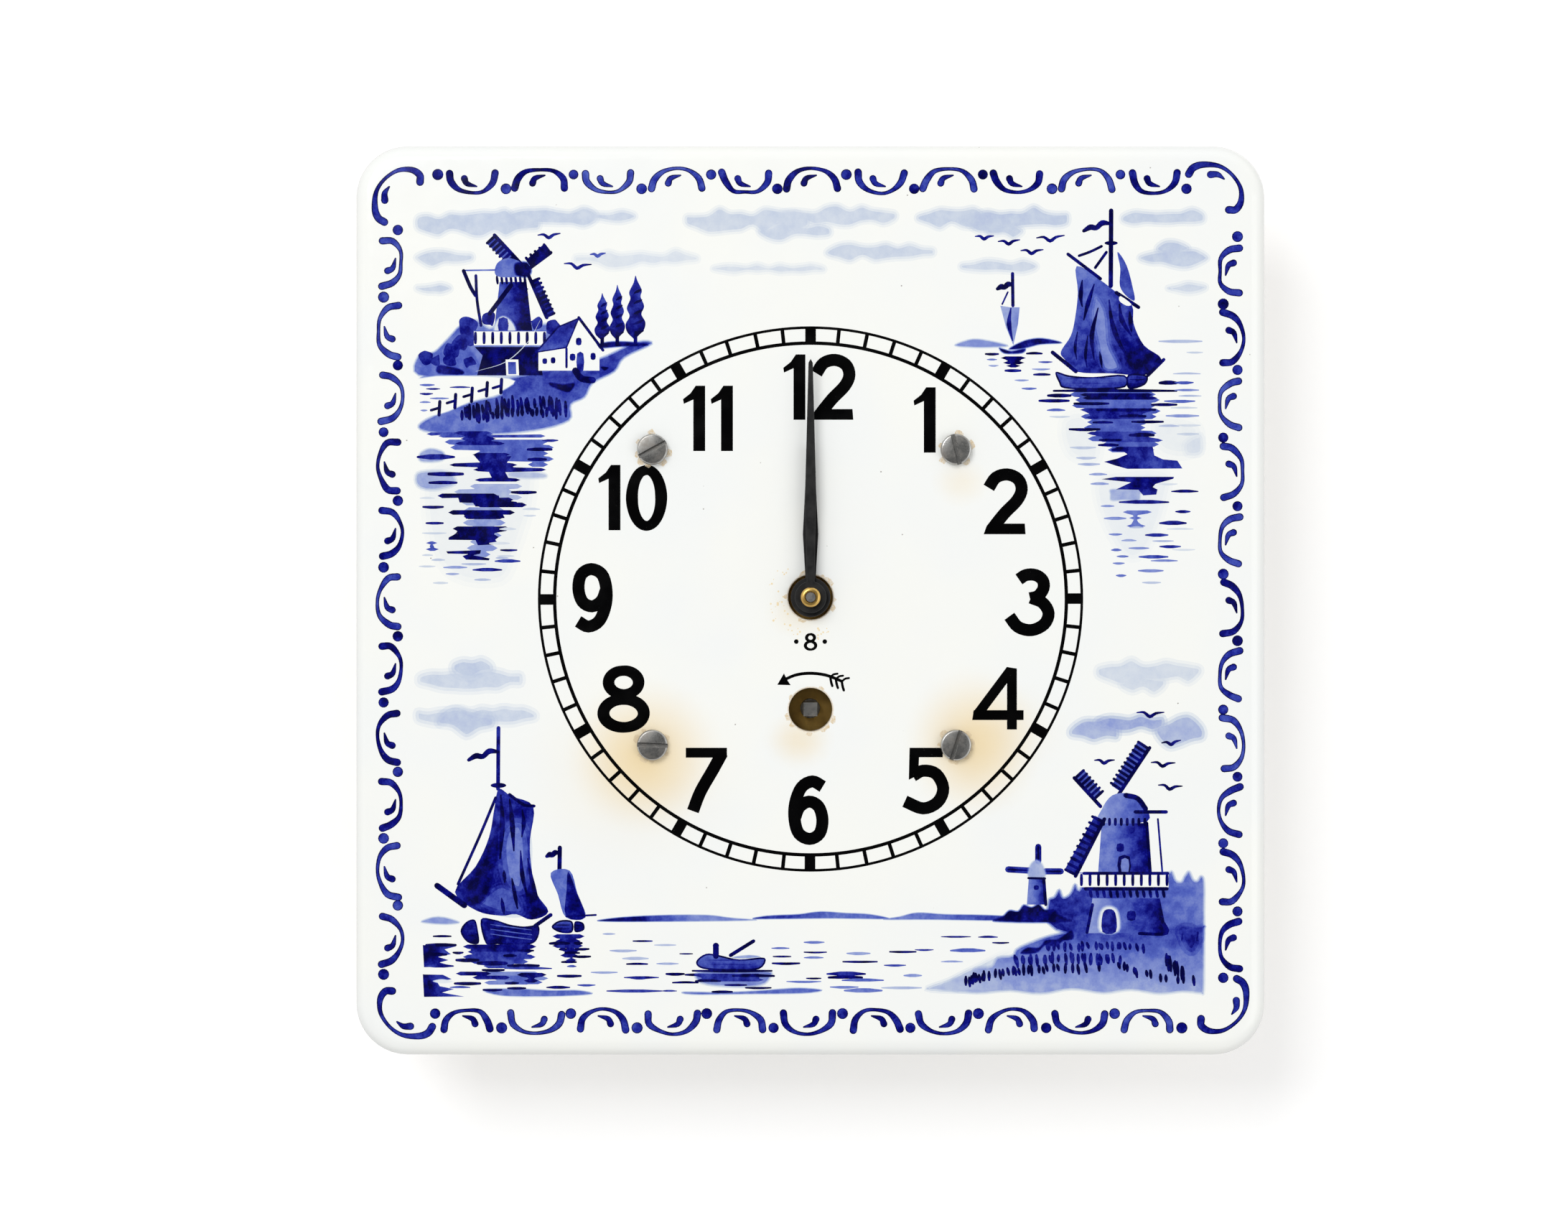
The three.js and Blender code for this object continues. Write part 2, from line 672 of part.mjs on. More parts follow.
// The ratchet turns freely anticlockwise in the great wheel; the click stops it the other way
function makeClickWork() {
  const [x, y] = windingAt;
  const pitch = (2 * Math.PI) / ratchetTeeth;
  const steepFace = THREE.MathUtils.degToRad(2);
  const root = ratchetRadius - ratchetToothDepth;
  const points = [];
  for (let i = 0; i < ratchetTeeth; i++) {
    const start = steepFace + i * pitch;
    points.push(polar(ratchetRadius, start), polar(root, start + pitch * 0.97));
  }
  const shape = polygon(points);
  roundHole(shape, windingArborRadius + fit);
  const ratchet = slab(shape, clickLow, clickLow + ratchetThickness);
  addPart("ratchet_wheel", ratchet.translate(x, y, 0), steel);

  const [px, py] = clickPivot;
  const pawl = polygon([
    [root + 0.16, -0.02],
    [ratchetRadius + 0.4, -0.02],
    [px + 2, py + 0.8],
    [px + clickBossRadius, py - 0.3],
    [px + 1.4, py - 1.6],
    [px, py - clickBossRadius],
    [px - 1.5, py - 1.6],
    [px - clickBossRadius, py],
    [px - 1.8, py + 2],
    [ratchetRadius + 0.1, -1.9],
    [ratchetRadius - 0.05, -1.7],
  ]);
  roundHole(pawl, clickScrewRadius + fit, px, py, 12);
  const click = slab(pawl, clickLow, clickLow + ratchetThickness);
  addPart("click", click.translate(x, y, 0), steel);

  const screwHeadLow = clickLow + ratchetThickness + seat;
  const screw = shaft(
    [
      [clickScrewRadius, greatWheelLow + 0.1, screwHeadLow],
      [1.8, screwHeadLow, screwHeadLow + 0.5],
    ],
    x + px,
    y + py,
  );
  addPart("click_screw", screw, steel);

  const leaf = polygon([
    [px + 2.45, py + 0.6],
    [px + 2.9, py + 0.6],
    [clickSpringPost[0] + 0.3, clickSpringPost[1]],
    [clickSpringPost[0] - 0.2, clickSpringPost[1]],
  ]);
  const post = rod(clickSpringPostRadius, greatWheelLow + 0.1, clickLow + 1, ...clickSpringPost);
  const spring = join(slab(leaf, clickLow + 0.2, clickLow + 0.9), post);
  addPart("click_spring", spring.translate(x, y, 0), blueSteel);
}

function makeTrain() {
  const pivotRear = backPlateRear - 0.2;
  const pivotFront = frontPlateFront + 0.2;
  const shoulderRear = backPlateFront + 0.3;
  const shoulderFront = frontPlateRear - 0.3;
  const plainArbor = (radius) => [
    [pivotRadius, pivotRear, shoulderRear],
    [radius, shoulderRear, shoulderFront],
    [pivotRadius, shoulderFront, pivotFront],
  ];
  const seatBore = arborRadius + fit;
  const plain = plainArbor(arborRadius);
  const slim = plainArbor(0.55).map(([radius, low, high]) => [Math.min(radius, 0.55), low, high]);
  const centreTop = minuteHandZ + handThickness + handNutHeight + 0.6;
  const centreSections = [[centreArborRadius, backPlateRear - 0.5, centreTop]];
  const over = (low, thickness) => [low - pinionOverhang, low + thickness + pinionOverhang];
  const beside = {
    great: over(greatWheelLow, greatWheelThickness),
    intermediate: over(intermediateWheelLow, wheelThickness),
    centre: over(centreWheelLow, wheelThickness),
    third: over(thirdWheelLow, wheelThickness),
    fourth: over(fourthWheelLow, wheelThickness),
  };

  pinionArbor("intermediate_arbor", greatMesh, intermediateAt, windingAt, plain, ...beside.great);
  wheelNode("intermediate_wheel", centreMesh, intermediateAt, centre, intermediateWheelLow, seatBore);
  pinionArbor("centre_arbor", centreMesh, centre, intermediateAt, centreSections, ...beside.intermediate);
  wheelNode("centre_wheel", thirdMesh, centre, thirdAt, centreWheelLow, centreArborRadius + fit);
  pinionArbor("third_arbor", thirdMesh, thirdAt, centre, plain, ...beside.centre);
  wheelNode("third_wheel", fourthMesh, thirdAt, fourthAt, thirdWheelLow, seatBore);
  pinionArbor("fourth_arbor", fourthMesh, fourthAt, thirdAt, plain, ...beside.third);
  wheelNode("fourth_wheel", escapeMesh, fourthAt, escapeAt, fourthWheelLow, seatBore);
  pinionArbor("escape_arbor", escapeMesh, escapeAt, fourthAt, slim, ...beside.fourth);
}

function makeEscapement() {
  const slim = 0.5;
  const ends = [backPlateRear - 0.2, frontPlateFront + 0.2];

  const points = [];
  for (let i = 0; i < escapeTeeth; i++) {
    const start = (2 * Math.PI * i) / escapeTeeth;
    const pitch = (2 * Math.PI) / escapeTeeth;
    points.push(polar(escapeRadius, start), polar(escapeRadius, start + 0.14 * pitch));
    points.push(polar(escapeRadius - 1.2, start + 0.45 * pitch));
  }
  const wheel = polygon(points);
  roundHole(wheel, 0.55 + fit, 0, 0, 12);
  const blank = slab(wheel, escapeWheelLow, escapeWheelLow + wheelThickness);
  addPart("escape_wheel", blank.translate(escapeAt[0], escapeAt[1], 0), steel);

  // The lever is drawn with its fork along x, then turned onto the line of centres
  const upper = [
    [leverForkDistance - 2.6, 0.55],
    [leverForkDistance - 1.4, 0.55],
    [leverForkDistance - 1.4, 1.2],
    [leverForkDistance - 3.2, 1.4],
    [leverForkDistance - 3.6, 0.55],
    [1.5, 0.8],
    [0.9, 2.2],
    [-0.5, 4.3],
    [-2.2, 4.2],
    [-2.05, 3.3],
    [-1.5, 3],
    [-1, 2.1],
    [-0.95, 0.9],
  ];
  const lever = polygon([...upper, ...upper.map(([px, py]) => [px, -py]).reverse()]);
  roundHole(lever, slim + fit, 0, 0, 12);
  const leverBody = slab(lever, escapeWheelLow, escapeWheelLow + wheelThickness).rotateZ(leverDirection);
  addPart("pallet_lever", leverBody.translate(leverAt[0], leverAt[1], 0), steel);
  addPart("lever_arbor", shaft([[slim, ...ends]], leverAt[0], leverAt[1]), steel);

  const rollerLow = behind(rollerDepth);
  const staff = shaft(
    [
      [slim, ends[0], rollerLow],
      [rollerRadius, rollerLow, rollerLow + 0.9],
      [slim, rollerLow + 0.9, ends[1]],
    ],
    balanceAt[0],
    balanceAt[1],
  );
  const pinAt = shifted(polar(impulsePinOffset, leverDirection + Math.PI), balanceAt);
  const pin = rod(impulsePinRadius, rollerLow + 0.5, escapeWheelLow - 0.3, ...pinAt, 8);
  addPart("balance_staff", join(staff, pin), steel);

  const rim = circle(balanceRadius, 32);
  roundHole(rim, slim + fit, 0, 0, 12);
  crossings(rim, 1.8, balanceRadius - balanceRimWidth, 3, 1.6);
  const balance = slab(rim, balanceLow, balanceLow + balanceThickness);
  addPart("balance_wheel", balance.translate(balanceAt[0], balanceAt[1], 0), brass);

  const inner = slim + fit + hairspringStrip;
  const coil = spiralPoints(inner, hairspringRadius, hairspringTurns, hairspringStrip, 12, 0);
  const hairspring = slab(polygon(coil), hairspringLow, hairspringLow + 0.6);
  addPart("hairspring", hairspring.translate(balanceAt[0], balanceAt[1], 0), blueSteel);
}

// Cannon pinion, minute wheel and hour wheel give the twelve to one between the hands
function makeMotionWork() {
  const cannonTop = minuteHandZ + handThickness;
  const cannonRadius = centreArborRadius + fit + 0.35;
  const tube = circle(cannonRadius, 12);
  const leaves = pinionShape(minuteMesh, bearing(centre, minuteWheelAt));
  const bore = rod(centreArborRadius + fit, ahead(0), cannonTop + 1, 0, 0, 12);
  const body = join(slab(tube, ahead(0.3), cannonTop), slab(leaves, ahead(0.3), ahead(2.4)));
  addPart("cannon_pinion", cut(body, bore), steel);

  const wheel = wheelShape(minuteMesh, gapTowards(minuteMesh.wheel, bearing(minuteWheelAt, centre)));
  const pinion = pinionShape(hourMesh, bearing(minuteWheelAt, centre));
  const pinionTop = hourWheelLow + wheelThickness + 0.3;
  const minuteBody = join(
    slab(circle(1.5, 12), ahead(0.1), minuteWheelLow + 0.2),
    slab(wheel, minuteWheelLow, minuteWheelLow + wheelThickness),
    slab(pinion, minuteWheelLow + 0.5, pinionTop),
  );
  const studHole = rod(minuteStudRadius + fit, ahead(0), pinionTop + 1, 0, 0, 12);
  const placed = cut(minuteBody, studHole).translate(...minuteWheelAt, 0);
  addPart("minute_wheel", placed, brass);
  const stud = shaft(
    [
      [minuteStudRadius, frontPlateRear + 0.2, pinionTop + 0.1],
      [minuteStudHeadRadius, pinionTop + 0.1, pinionTop + 0.6],
    ],
    ...minuteWheelAt,
  );
  addPart("minute_wheel_stud", stud, steel);

  const pipeInner = cannonRadius + 0.1;
  const pipeOuter = pipeInner + hourPipeWall;
  const hourShape = wheelShape(hourMesh, gapTowards(hourMesh.wheel, bearing(centre, minuteWheelAt)));
  const pipe = slab(circle(pipeOuter, roundSegments), hourWheelLow, hourHandZ + handThickness);
  const hourBody = join(slab(hourShape, hourWheelLow, hourWheelLow + wheelThickness), pipe);
  const pipeBore = rod(pipeInner, hourWheelLow - 1, hourHandZ + 3, 0, 0, roundSegments);
  addPart("hour_wheel", cut(hourBody, pipeBore), brass);
  return { pipeOuter, cannonRadius };
}

// A slim baton that swells a third of the way out and ends in a narrow tip
function handShape(length, bossRadius, belly, tip, hole) {
  const start = Math.asin(belly / 2 / bossRadius);
  const points = [];
  for (let k = 0; k <= 16; k++)
    points.push(polar(bossRadius, Math.PI / 2 + start + ((2 * Math.PI - 2 * start) * k) / 16));
  points.push([belly * 0.75, length * 0.42], [tip / 2, length - 1], [0, length]);
  points.push([-tip / 2, length - 1], [-belly * 0.75, length * 0.42]);
  const shape = polygon(points);
  roundHole(shape, hole, 0, 0, roundSegments);
  return shape;
}

function makeHands({ pipeOuter, cannonRadius }) {
  const hour = handShape(hourHandLength, hourBossRadius, 2.6, 1.8, pipeOuter + fit);
  addPart("hour_hand", slab(hour, hourHandZ, hourHandZ + handThickness), blackSteel);
  const minute = handShape(minuteHandLength, minuteBossRadius, 1.9, 1.1, cannonRadius + fit);
  addPart("minute_hand", slab(minute, minuteHandZ, minuteHandZ + handThickness), blackSteel);
  const nutLow = minuteHandZ + handThickness + seat;
  const nut = turned(
    [
      [centreArborRadius + fit, nutLow],
      [handNutRadius, nutLow],
      [handNutRadius, nutLow + handNutHeight * 0.7],
      [handNutRadius * 0.75, nutLow + handNutHeight],
      [centreArborRadius + fit, nutLow + handNutHeight],
      [centreArborRadius + fit, nutLow],
    ],
    0,
    0,
  );
  addPart("hand_nut", nut, brass);
}

makeDialPlate();
makeCase();
makeHanger();
makeCaseFasteners();
makeMovementFrame();
makePowerUnit();
makeClickWork();
makeTrain();
makeEscapement();
makeHands(makeMotionWork());

// The dial faces along -y and twelve o'clock points up
clock.rotation.x = Math.PI / 2;

export default clock;
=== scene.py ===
# %% [markdown]
# # A delft-pattern wall clock
#
# The CAD model gives every piece its place. This script adds what the eye sees: a glazed earthenware
# plate with its painting, and metal, fibre and lacquer on the rest.
#
# The painting could be an image laid over the plate, but an image blurs when the eye comes near, and it
# is lost when only the mesh is passed on. Here each brush stroke is an outline, and all outlines are
# cut into the plate's front face by one triangulation. Every corner of every triangle then holds how
# much ink lies there, and the glaze's material turns ink into colour.
#
# The order is that of a workshop: the brush, the painting, the plate, the finishes, then the case, the
# screws and the hands, and last the room in which the clock hangs.

import json
import math

import bmesh
import bpy
import numpy as np
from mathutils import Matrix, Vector, geometry


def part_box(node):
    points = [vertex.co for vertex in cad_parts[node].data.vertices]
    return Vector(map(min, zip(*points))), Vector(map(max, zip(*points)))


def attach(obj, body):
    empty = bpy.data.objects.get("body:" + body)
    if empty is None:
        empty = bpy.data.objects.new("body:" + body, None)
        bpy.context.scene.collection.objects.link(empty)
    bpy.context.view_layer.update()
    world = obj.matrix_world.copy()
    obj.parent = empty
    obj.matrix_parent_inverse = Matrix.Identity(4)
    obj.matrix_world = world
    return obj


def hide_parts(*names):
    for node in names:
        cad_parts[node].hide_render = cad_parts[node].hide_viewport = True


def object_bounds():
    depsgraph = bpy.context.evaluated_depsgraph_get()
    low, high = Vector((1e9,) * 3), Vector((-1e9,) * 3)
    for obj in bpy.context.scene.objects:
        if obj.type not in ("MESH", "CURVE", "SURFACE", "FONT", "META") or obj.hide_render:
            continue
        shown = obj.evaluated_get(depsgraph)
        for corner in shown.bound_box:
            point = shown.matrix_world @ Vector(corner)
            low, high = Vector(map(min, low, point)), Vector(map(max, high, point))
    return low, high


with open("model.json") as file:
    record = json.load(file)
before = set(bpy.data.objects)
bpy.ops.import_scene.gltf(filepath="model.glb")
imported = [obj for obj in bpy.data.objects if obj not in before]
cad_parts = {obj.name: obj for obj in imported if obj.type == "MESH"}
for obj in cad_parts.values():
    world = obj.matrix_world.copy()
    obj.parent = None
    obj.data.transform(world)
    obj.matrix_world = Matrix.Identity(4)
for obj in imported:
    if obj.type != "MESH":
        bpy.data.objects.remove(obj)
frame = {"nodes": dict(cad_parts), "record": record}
cad_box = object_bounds()
MM = 0.001
clock_size = [round((far - near) / MM, 1) for near, far in zip(*cad_box)]
print("the clock is", clock_size, "mm wide, deep and tall")

# %% [markdown]
# ## Sizes
# A dial is set out before it is painted: its maker fixes the centre, the rings and the holes, and works
# from there. Loose numbers could stand where each shape is made, but a name says what a number is, and
# a change then reaches every shape that uses it. The dial is drawn in millimetres, x to the right and y
# up from the hand arbor, with depth counted from the wall. Sizes that a CAD node already has are read
# from its box, so that the two can't drift apart.


# %% Where the CAD nodes are
def extent(node):
    """Two corners of a CAD node's box as (x, y, depth), to a hundredth of a millimetre."""
    low, high = (np.round(np.array(corner) / MM, 2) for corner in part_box(node))
    return (low[0], low[2], -high[1]), (high[0], high[2], -low[1])


def middle(node):
    """The middle of a CAD node's box as (x, y)."""
    (left, foot, _), (right, top, _) = extent(node)
    return (left + right) / 2, (foot + top) / 2


print("the winding arbor stands", round(-middle("winding_arbor")[1], 2), "mm under the hands")

# %% The plate and its holes
(plate_left, plate_foot, PLATE_RIM_BACK), (plate_right, plate_top, PLATE_FRONT) = extent("dial_plate")
PLATE_HALF = (plate_right - plate_left) / 2
PLATE_CENTRE_Y = (plate_top + plate_foot) / 2
POCKET_DEPTH = 3
PLATE_BACK = PLATE_RIM_BACK + POCKET_DEPTH
PLATE_CORNER = 13
EDGE_ROUND = 4
FOOT_INSET = 1.2
RIM_WIDTH = 10
ARBOR_HOLE = 5.65
WINDING_HOLE = 5.5
WINDING_Y = middle("winding_arbor")[1]
SCREW_HOLE = 2.5
SCREWS = [middle(f"case_screw_{i}") for i in (1, 2, 3, 4)]
WIDE_HOLE_POINTS = 44
SCREW_HOLE_POINTS = 28
HOLES = [(0, 0, ARBOR_HOLE, WIDE_HOLE_POINTS), (0, WINDING_Y, WINDING_HOLE, WIDE_HOLE_POINTS)]
HOLES += [(x, y, SCREW_HOLE, SCREW_HOLE_POINTS) for x, y in SCREWS]
print("the plate is", round(2 * PLATE_HALF, 1), "mm wide and has", len(HOLES), "holes")

# %% [markdown]
# ## The brush
# A brush leaves a line that swells and thins and ends round. It could be a Blender curve with a bevel,
# but a curve can't be cut into the face of another mesh. So a stroke here is a flat outline: a smooth
# curve through a few points, with half of the brush's width on each side. The curve is a Catmull-Rom
# spline, which passes through every point that it is given, as a painter's hand does.


# %% A curve through its points
def spline(points, steps=5, closed=False):
    """Points on a Catmull-Rom curve, `steps` to each stretch between two given points.

    Between b and c, with a before and d after, the curve is half of the sum of 2b, t times (c - a),
    t squared times (2a - 5b + 4c - d) and t cubed times (3b - a - 3c + d), for t from 0 to 1.
    """
    p = np.array(points, float)
    if closed:
        before, start, end, after = np.roll(p, 1, 0), p, np.roll(p, -1, 0), np.roll(p, -2, 0)
    else:
        padded = np.vstack([2 * p[0] - p[1], p, 2 * p[-1] - p[-2]])
        before, start, end, after = padded[:-3], padded[1:-2], padded[2:-1], padded[3:]
    t = (np.arange(steps) / steps)[None, :, None]
    a, b, c, d = (q[:, None, :] for q in (before, start, end, after))
    curve = 2 * b + (c - a) * t + (2 * a - 5 * b + 4 * c - d) * t**2 + (3 * b - a - 3 * c + d) * t**3
    curve = 0.5 * curve.reshape(-1, 2)
    return curve if closed else np.vstack([curve, p[-1]])


print("a curve through 3 points has", len(spline([(0, 0), (1, 1), (2, 0)])), "points")


# %% A stroke round the curve
def stroke(path, widths, steps=5, cap=5):
    """The outline of a brush stroke: the curve plus and minus half its width along its normal.

    `widths` are spread evenly along the path. Each end is a half circle of `cap` points, from the normal
    on one side to the one on the other.
    """
    line = spline(path, steps) if len(path) > 2 else np.linspace(path[0], path[1], 4)
    along = np.gradient(line, axis=0)
    along /= np.linalg.norm(along, axis=1, keepdims=True) + 1e-9
    aside = np.column_stack([-along[:, 1], along[:, 0]])
    length = np.concatenate([[0], np.cumsum(np.linalg.norm(np.diff(line, axis=0), axis=1))])
    half = np.interp(length / length[-1], np.linspace(0, 1, len(widths)), widths)[:, None] / 2
    turn = np.linspace(0, math.pi, cap + 2)[1:-1, None]
    end = line[-1] + half[-1] * (np.cos(turn) * aside[-1] + np.sin(turn) * along[-1])
    start = line[0] - half[0] * (np.cos(turn) * aside[0] + np.sin(turn) * along[0])
    return np.vstack([line + half * aside, end, (line - half * aside)[::-1], start])


def circle(x, y, radius, count=14):
    """A ring of points: radius times the cosine and the sine of an angle that goes round evenly."""
    angle = np.arange(count) / count * 2 * math.pi
    return np.column_stack([x + radius * np.cos(angle), y + radius * np.sin(angle)])


print("a stroke of two points has", len(stroke([(0, 0), (1, 0)], [1, 1])), "corners")


# %% Placing, turning and growing an outline
def oblong(left, right, low, high):
    """The four corners of an oblong."""
    return [(left, low), (right, low), (right, high), (left, high)]


def placed(points, x, y, scale=1, turn=0):
    """Points times a matrix that turns them anticlockwise by `turn` degrees, then scaled and moved."""
    angle = math.radians(turn)
    spin = np.array([[math.cos(angle), math.sin(angle)], [-math.sin(angle), math.cos(angle)]])
    return np.array(points, float) @ spin * scale + (x, y)


def anticlockwise(outline):
    """The outline, reversed if the sum of x times the next y less y times the next x is below 0."""
    outline = np.asarray(outline, float)
    x, y = outline.T
    return outline if np.dot(x, np.roll(y, -1)) >= np.dot(y, np.roll(x, -1)) else outline[::-1]


def grown(outline, by):
    """An anticlockwise outline moved out: each point goes `by` along the normal of the line past it."""
    along = np.roll(outline, -1, 0) - np.roll(outline, 1, 0)
    along /= np.linalg.norm(along, axis=1, keepdims=True) + 1e-9
    return outline + by * np.column_stack([along[:, 1], -along[:, 0]])


def ramp(start, end, low, high):
    """A value that goes from `low` at the point `start` to `high` at the point `end`.

    The share of the way is the dot product with the way itself, over its length squared, held to 0 to 1.
    """
    start, end = np.array(start, float), np.array(end, float)
    step = (end - start) / np.dot(end - start, end - start)
    return lambda xy: low + (high - low) * np.clip((xy - start) @ step, 0, 1)


print("halfway up a ramp from 0 to 1 the tone is", ramp((0, 0), (2, 0), 0, 1)(np.array([1.0, 0.0])))

# %% [markdown]
# ## The painting as a list of shapes
# On the real plate a stencil gives the outlines, and a painter fills them by hand with thinned cobalt
# before the plate is fired. Each shape could be an object of its own, just over the plate, but then the
# light would catch hundreds of edges. Here the shapes go into a list, in the order in which they are
# painted. A later shape covers an earlier one, also with a paler tone, which leaves walls and sails
# white. `patch` lays a smooth shape once. `wash` lays it three times, each smaller and stronger, so
# that its edge looks watery.

# %% The list, the patch, the wash and the dab
COBALT, BLACK, STAIN, CLAY = 0, 1, 2, 3
shapes = []
hand = np.random.default_rng(7)


def lay(outline, tone, ink=COBALT, cover=1):
    """Adds a shape. Tone and cover are numbers from 0 to 1 or functions of the place."""
    shapes.append((anticlockwise(outline), tone, ink, cover))


def patch(points, tone, steps=4):
    """A smooth closed shape laid once."""
    lay(spline(points, steps, closed=True), tone)


def wash(points, tone, soft, cover=0.9):
    """A smooth closed shape laid three times, grown by half of `soft`, by 0 and by minus half of it."""
    outline = anticlockwise(spline(points, 4, closed=True))
    for share, by in ((0.3, soft / 2), (0.5, 0), (1, -soft / 2)):
        strength = (lambda xy, k=share: k * cover(xy)) if callable(cover) else share * cover
        lay(grown(outline, by), tone, COBALT, strength)


def dab(path, width, tone, taper=0.35):
    """A short stroke, thinner at both ends."""
    lay(stroke(path, [width * taper, width, width * taper], cap=3, steps=3), tone)


def line(path, width, tone, ink=COBALT):
    """A stroke of one width from end to end."""
    lay(stroke(path, [width, width], cap=3, steps=4), tone, ink)


def tell(what):
    """Prints how far the painting has come."""
    print(what, "brings the painting to", len(shapes), "shapes")


print("inks:", {"cobalt": COBALT, "black print": BLACK, "stain": STAIN, "bare clay": CLAY})

# %% [markdown]
# ## Border
# Such plates have a band of scrolls along the edge. Each side here carries eleven bowed strokes, in
# turn open to the outside and to the inside, with a comma in each and a dot between, and a scroll turns
# each corner. An Array modifier could repeat one motif, but a hand never paints the same stroke twice.
# So one side is a function, called for the four sides, and each stroke gets a little sway and a tone of
# its own from a seeded random generator.


# %% A stroke and a dot with a dark edge
DARK_EDGE = 0.5
THINNEST = 0.12


def border_piece(path, widths, place, tone):
    """A stroke dark at its edge and paler inside; `place` carries its points to their side."""
    spot = [place(point) for point in path]
    lay(stroke(spot, widths, steps=4), 1)
    lay(stroke(spot, [max(width - DARK_EDGE, THINNEST) for width in widths], steps=4), tone)


def border_dot(x, y, radius, tone, edge=0.24):
    """A round dot with a dark edge."""
    lay(circle(x, y, radius), 1)
    lay(circle(x, y, radius - edge), tone)


print("a border stroke is dark for", DARK_EDGE / 2, "mm at its edge")

# %% One side, drawn four times
BORDER_MOTIFS = 11
BORDER_SIDES = [(-94.2, 17.22, 9.1), (-92.1, 17.06, 8.8), (-93.9, 17.18, 8.7), (-94.3, 17.1, 8.8)]
BOW = [(-5.6, 2.2), (-5, -0.2), (-2.9, -2.2), (0.1, -2.8), (3, -2.3), (5.2, -0.3), (5.7, 2.2)]
BOW_WIDTHS = [1.95, 1.8, 1.15, 0.9, 1.05, 1.7, 1.9]
COMMA = [(-1.9, 0.8), (-1.2, -0.5), (1.2, -1.2)]
COMMA_WIDTHS = [1.8, 1.3, 0.45]
ARCH_SPREAD = 1.12
BOWL_SPREAD = 1.03
DOT_OUTER = 1.6
DOT_INNER = -2.0


def border_side(turn, first, pitch, margin):
    """One side, drawn as the top one: x runs clockwise round the plate and y points outwards."""
    level = PLATE_HALF - margin

    def place(point):
        return placed([point], 0, PLATE_CENTRE_Y, turn=turn)[0]

    def at(x, y):
        return lambda point: place((x + point[0], level + y + point[1]))

    for i in range(BORDER_MOTIFS):
        x = first + (i + 0.5) * pitch + hand.uniform(-0.3, 0.3)
        flip = -1 if i % 2 else 1
        spread = ARCH_SPREAD if i % 2 else BOWL_SPREAD
        tone = hand.uniform(0.7, 0.92)
        spot = at(x, -0.2 * flip)
        sway = hand.uniform(-0.25, 0.25, (len(BOW), 2))
        bowed = [(spread * px + sx, flip * (py + sy)) for (px, py), (sx, sy) in zip(BOW, sway)]
        border_piece(bowed, BOW_WIDTHS, spot, tone)
        border_piece([(px, flip * py) for px, py in COMMA], COMMA_WIDTHS, spot, min(tone + 0.05, 0.94))
        dot_x, dot_y = place((x - pitch / 2, level + (DOT_OUTER if flip > 0 else DOT_INNER)))
        border_dot(dot_x, dot_y, hand.uniform(1.25, 1.45), hand.uniform(0.75, 0.94))
    border_dot(*place((first + BORDER_MOTIFS * pitch - 0.3, level + DOT_INNER)), 1.35, 0.86, 0.25)

    scroll = [
        (16.4, 9.4), (16.3, 7.6), (14.2, 6.3), (10.7, 6.5), (7.3, 8.8), (5.3, 12), (5, 16), (5.8, 18.4),
        (7.4, 19.5),
    ]
    scroll_widths = [2, 1.8, 1.3, 1, 0.95, 1.1, 1.5, 1.9, 2]

    def near_corner(point):
        return place((point[0] - PLATE_HALF, PLATE_HALF - point[1]))

    border_piece(scroll, scroll_widths, near_corner, 0.82)
    border_piece([(7.5, 14), (7.5, 12.2), (8.6, 10.6)], [1.9, 1.5, 0.5], near_corner, 0.84)


for quarter, (first, pitch, margin) in enumerate(BORDER_SIDES):
    border_side(-90 * quarter, first, pitch, margin)
tell("the border")

# %% [markdown]
# ## Clouds, birds, water and grass
# The four corners hold small Dutch scenes that share a sky and water. A cloud is one watery stroke of
# thin cobalt, a bird two flicks of the brush, and water a stack of level dashes that mirror what stands
# over it. Each could be drawn point by point in every corner. A function for each kind is shorter and
# gives them the same habits of the hand, which makes the scenes belong together.


# %% Clouds and birds
def clouds(rows, soft=1.2):
    """Long pale clouds as (x, y, width, height, tone), with blunt ends and puffs above and below."""
    for x, y, width, height, tone in rows:
        count = max(5, round(width / 2.6))
        along = np.linspace(-0.5, 0.5, count)
        swell = np.sqrt(1 - 0.8 * (2 * along) ** 4) / 2
        top = np.column_stack([along, swell * hand.uniform(0.55, 1.3, count)])
        foot = np.column_stack([along, -swell * hand.uniform(0.5, 1.25, count)])
        points = np.vstack([top, foot[::-1]]) * (width, height) + (x, y)
        wash(points, tone, soft, ramp((x, y + height / 2), (x, y - height / 2), 0.95, 0.8))


def bird(x, y, span, tone=0.9):
    """Two wings in one stroke, thick where they meet, with a small tilt of its own."""
    tilt = hand.uniform(-6, 6)
    wings = [(-0.5, 0.05), (-0.24, 0.07), (-0.02, -0.08), (0.2, 0.05), (0.5, 0.1)]
    lay(stroke(placed(wings, x, y, span, tilt), [0.3, 0.7, 0.95, 0.7, 0.3], steps=3, cap=3), tone)


print("clouds and birds are ready")


# %% Water, reflections and grass
def streaks(rows):
    """Level dashes of water as (left, right, y, width, tone). Dark ones end blunter than pale ones."""
    for left, right, y, width, tone in rows:
        bend = hand.uniform(-0.12, 0.12)
        path = [(left, y), ((left + right) / 2, y + bend), (right, y)]
        end = width * (0.65 if tone > 0.88 else 0.4)
        lay(stroke(path, [end, width, width, end], steps=3, cap=3), tone)


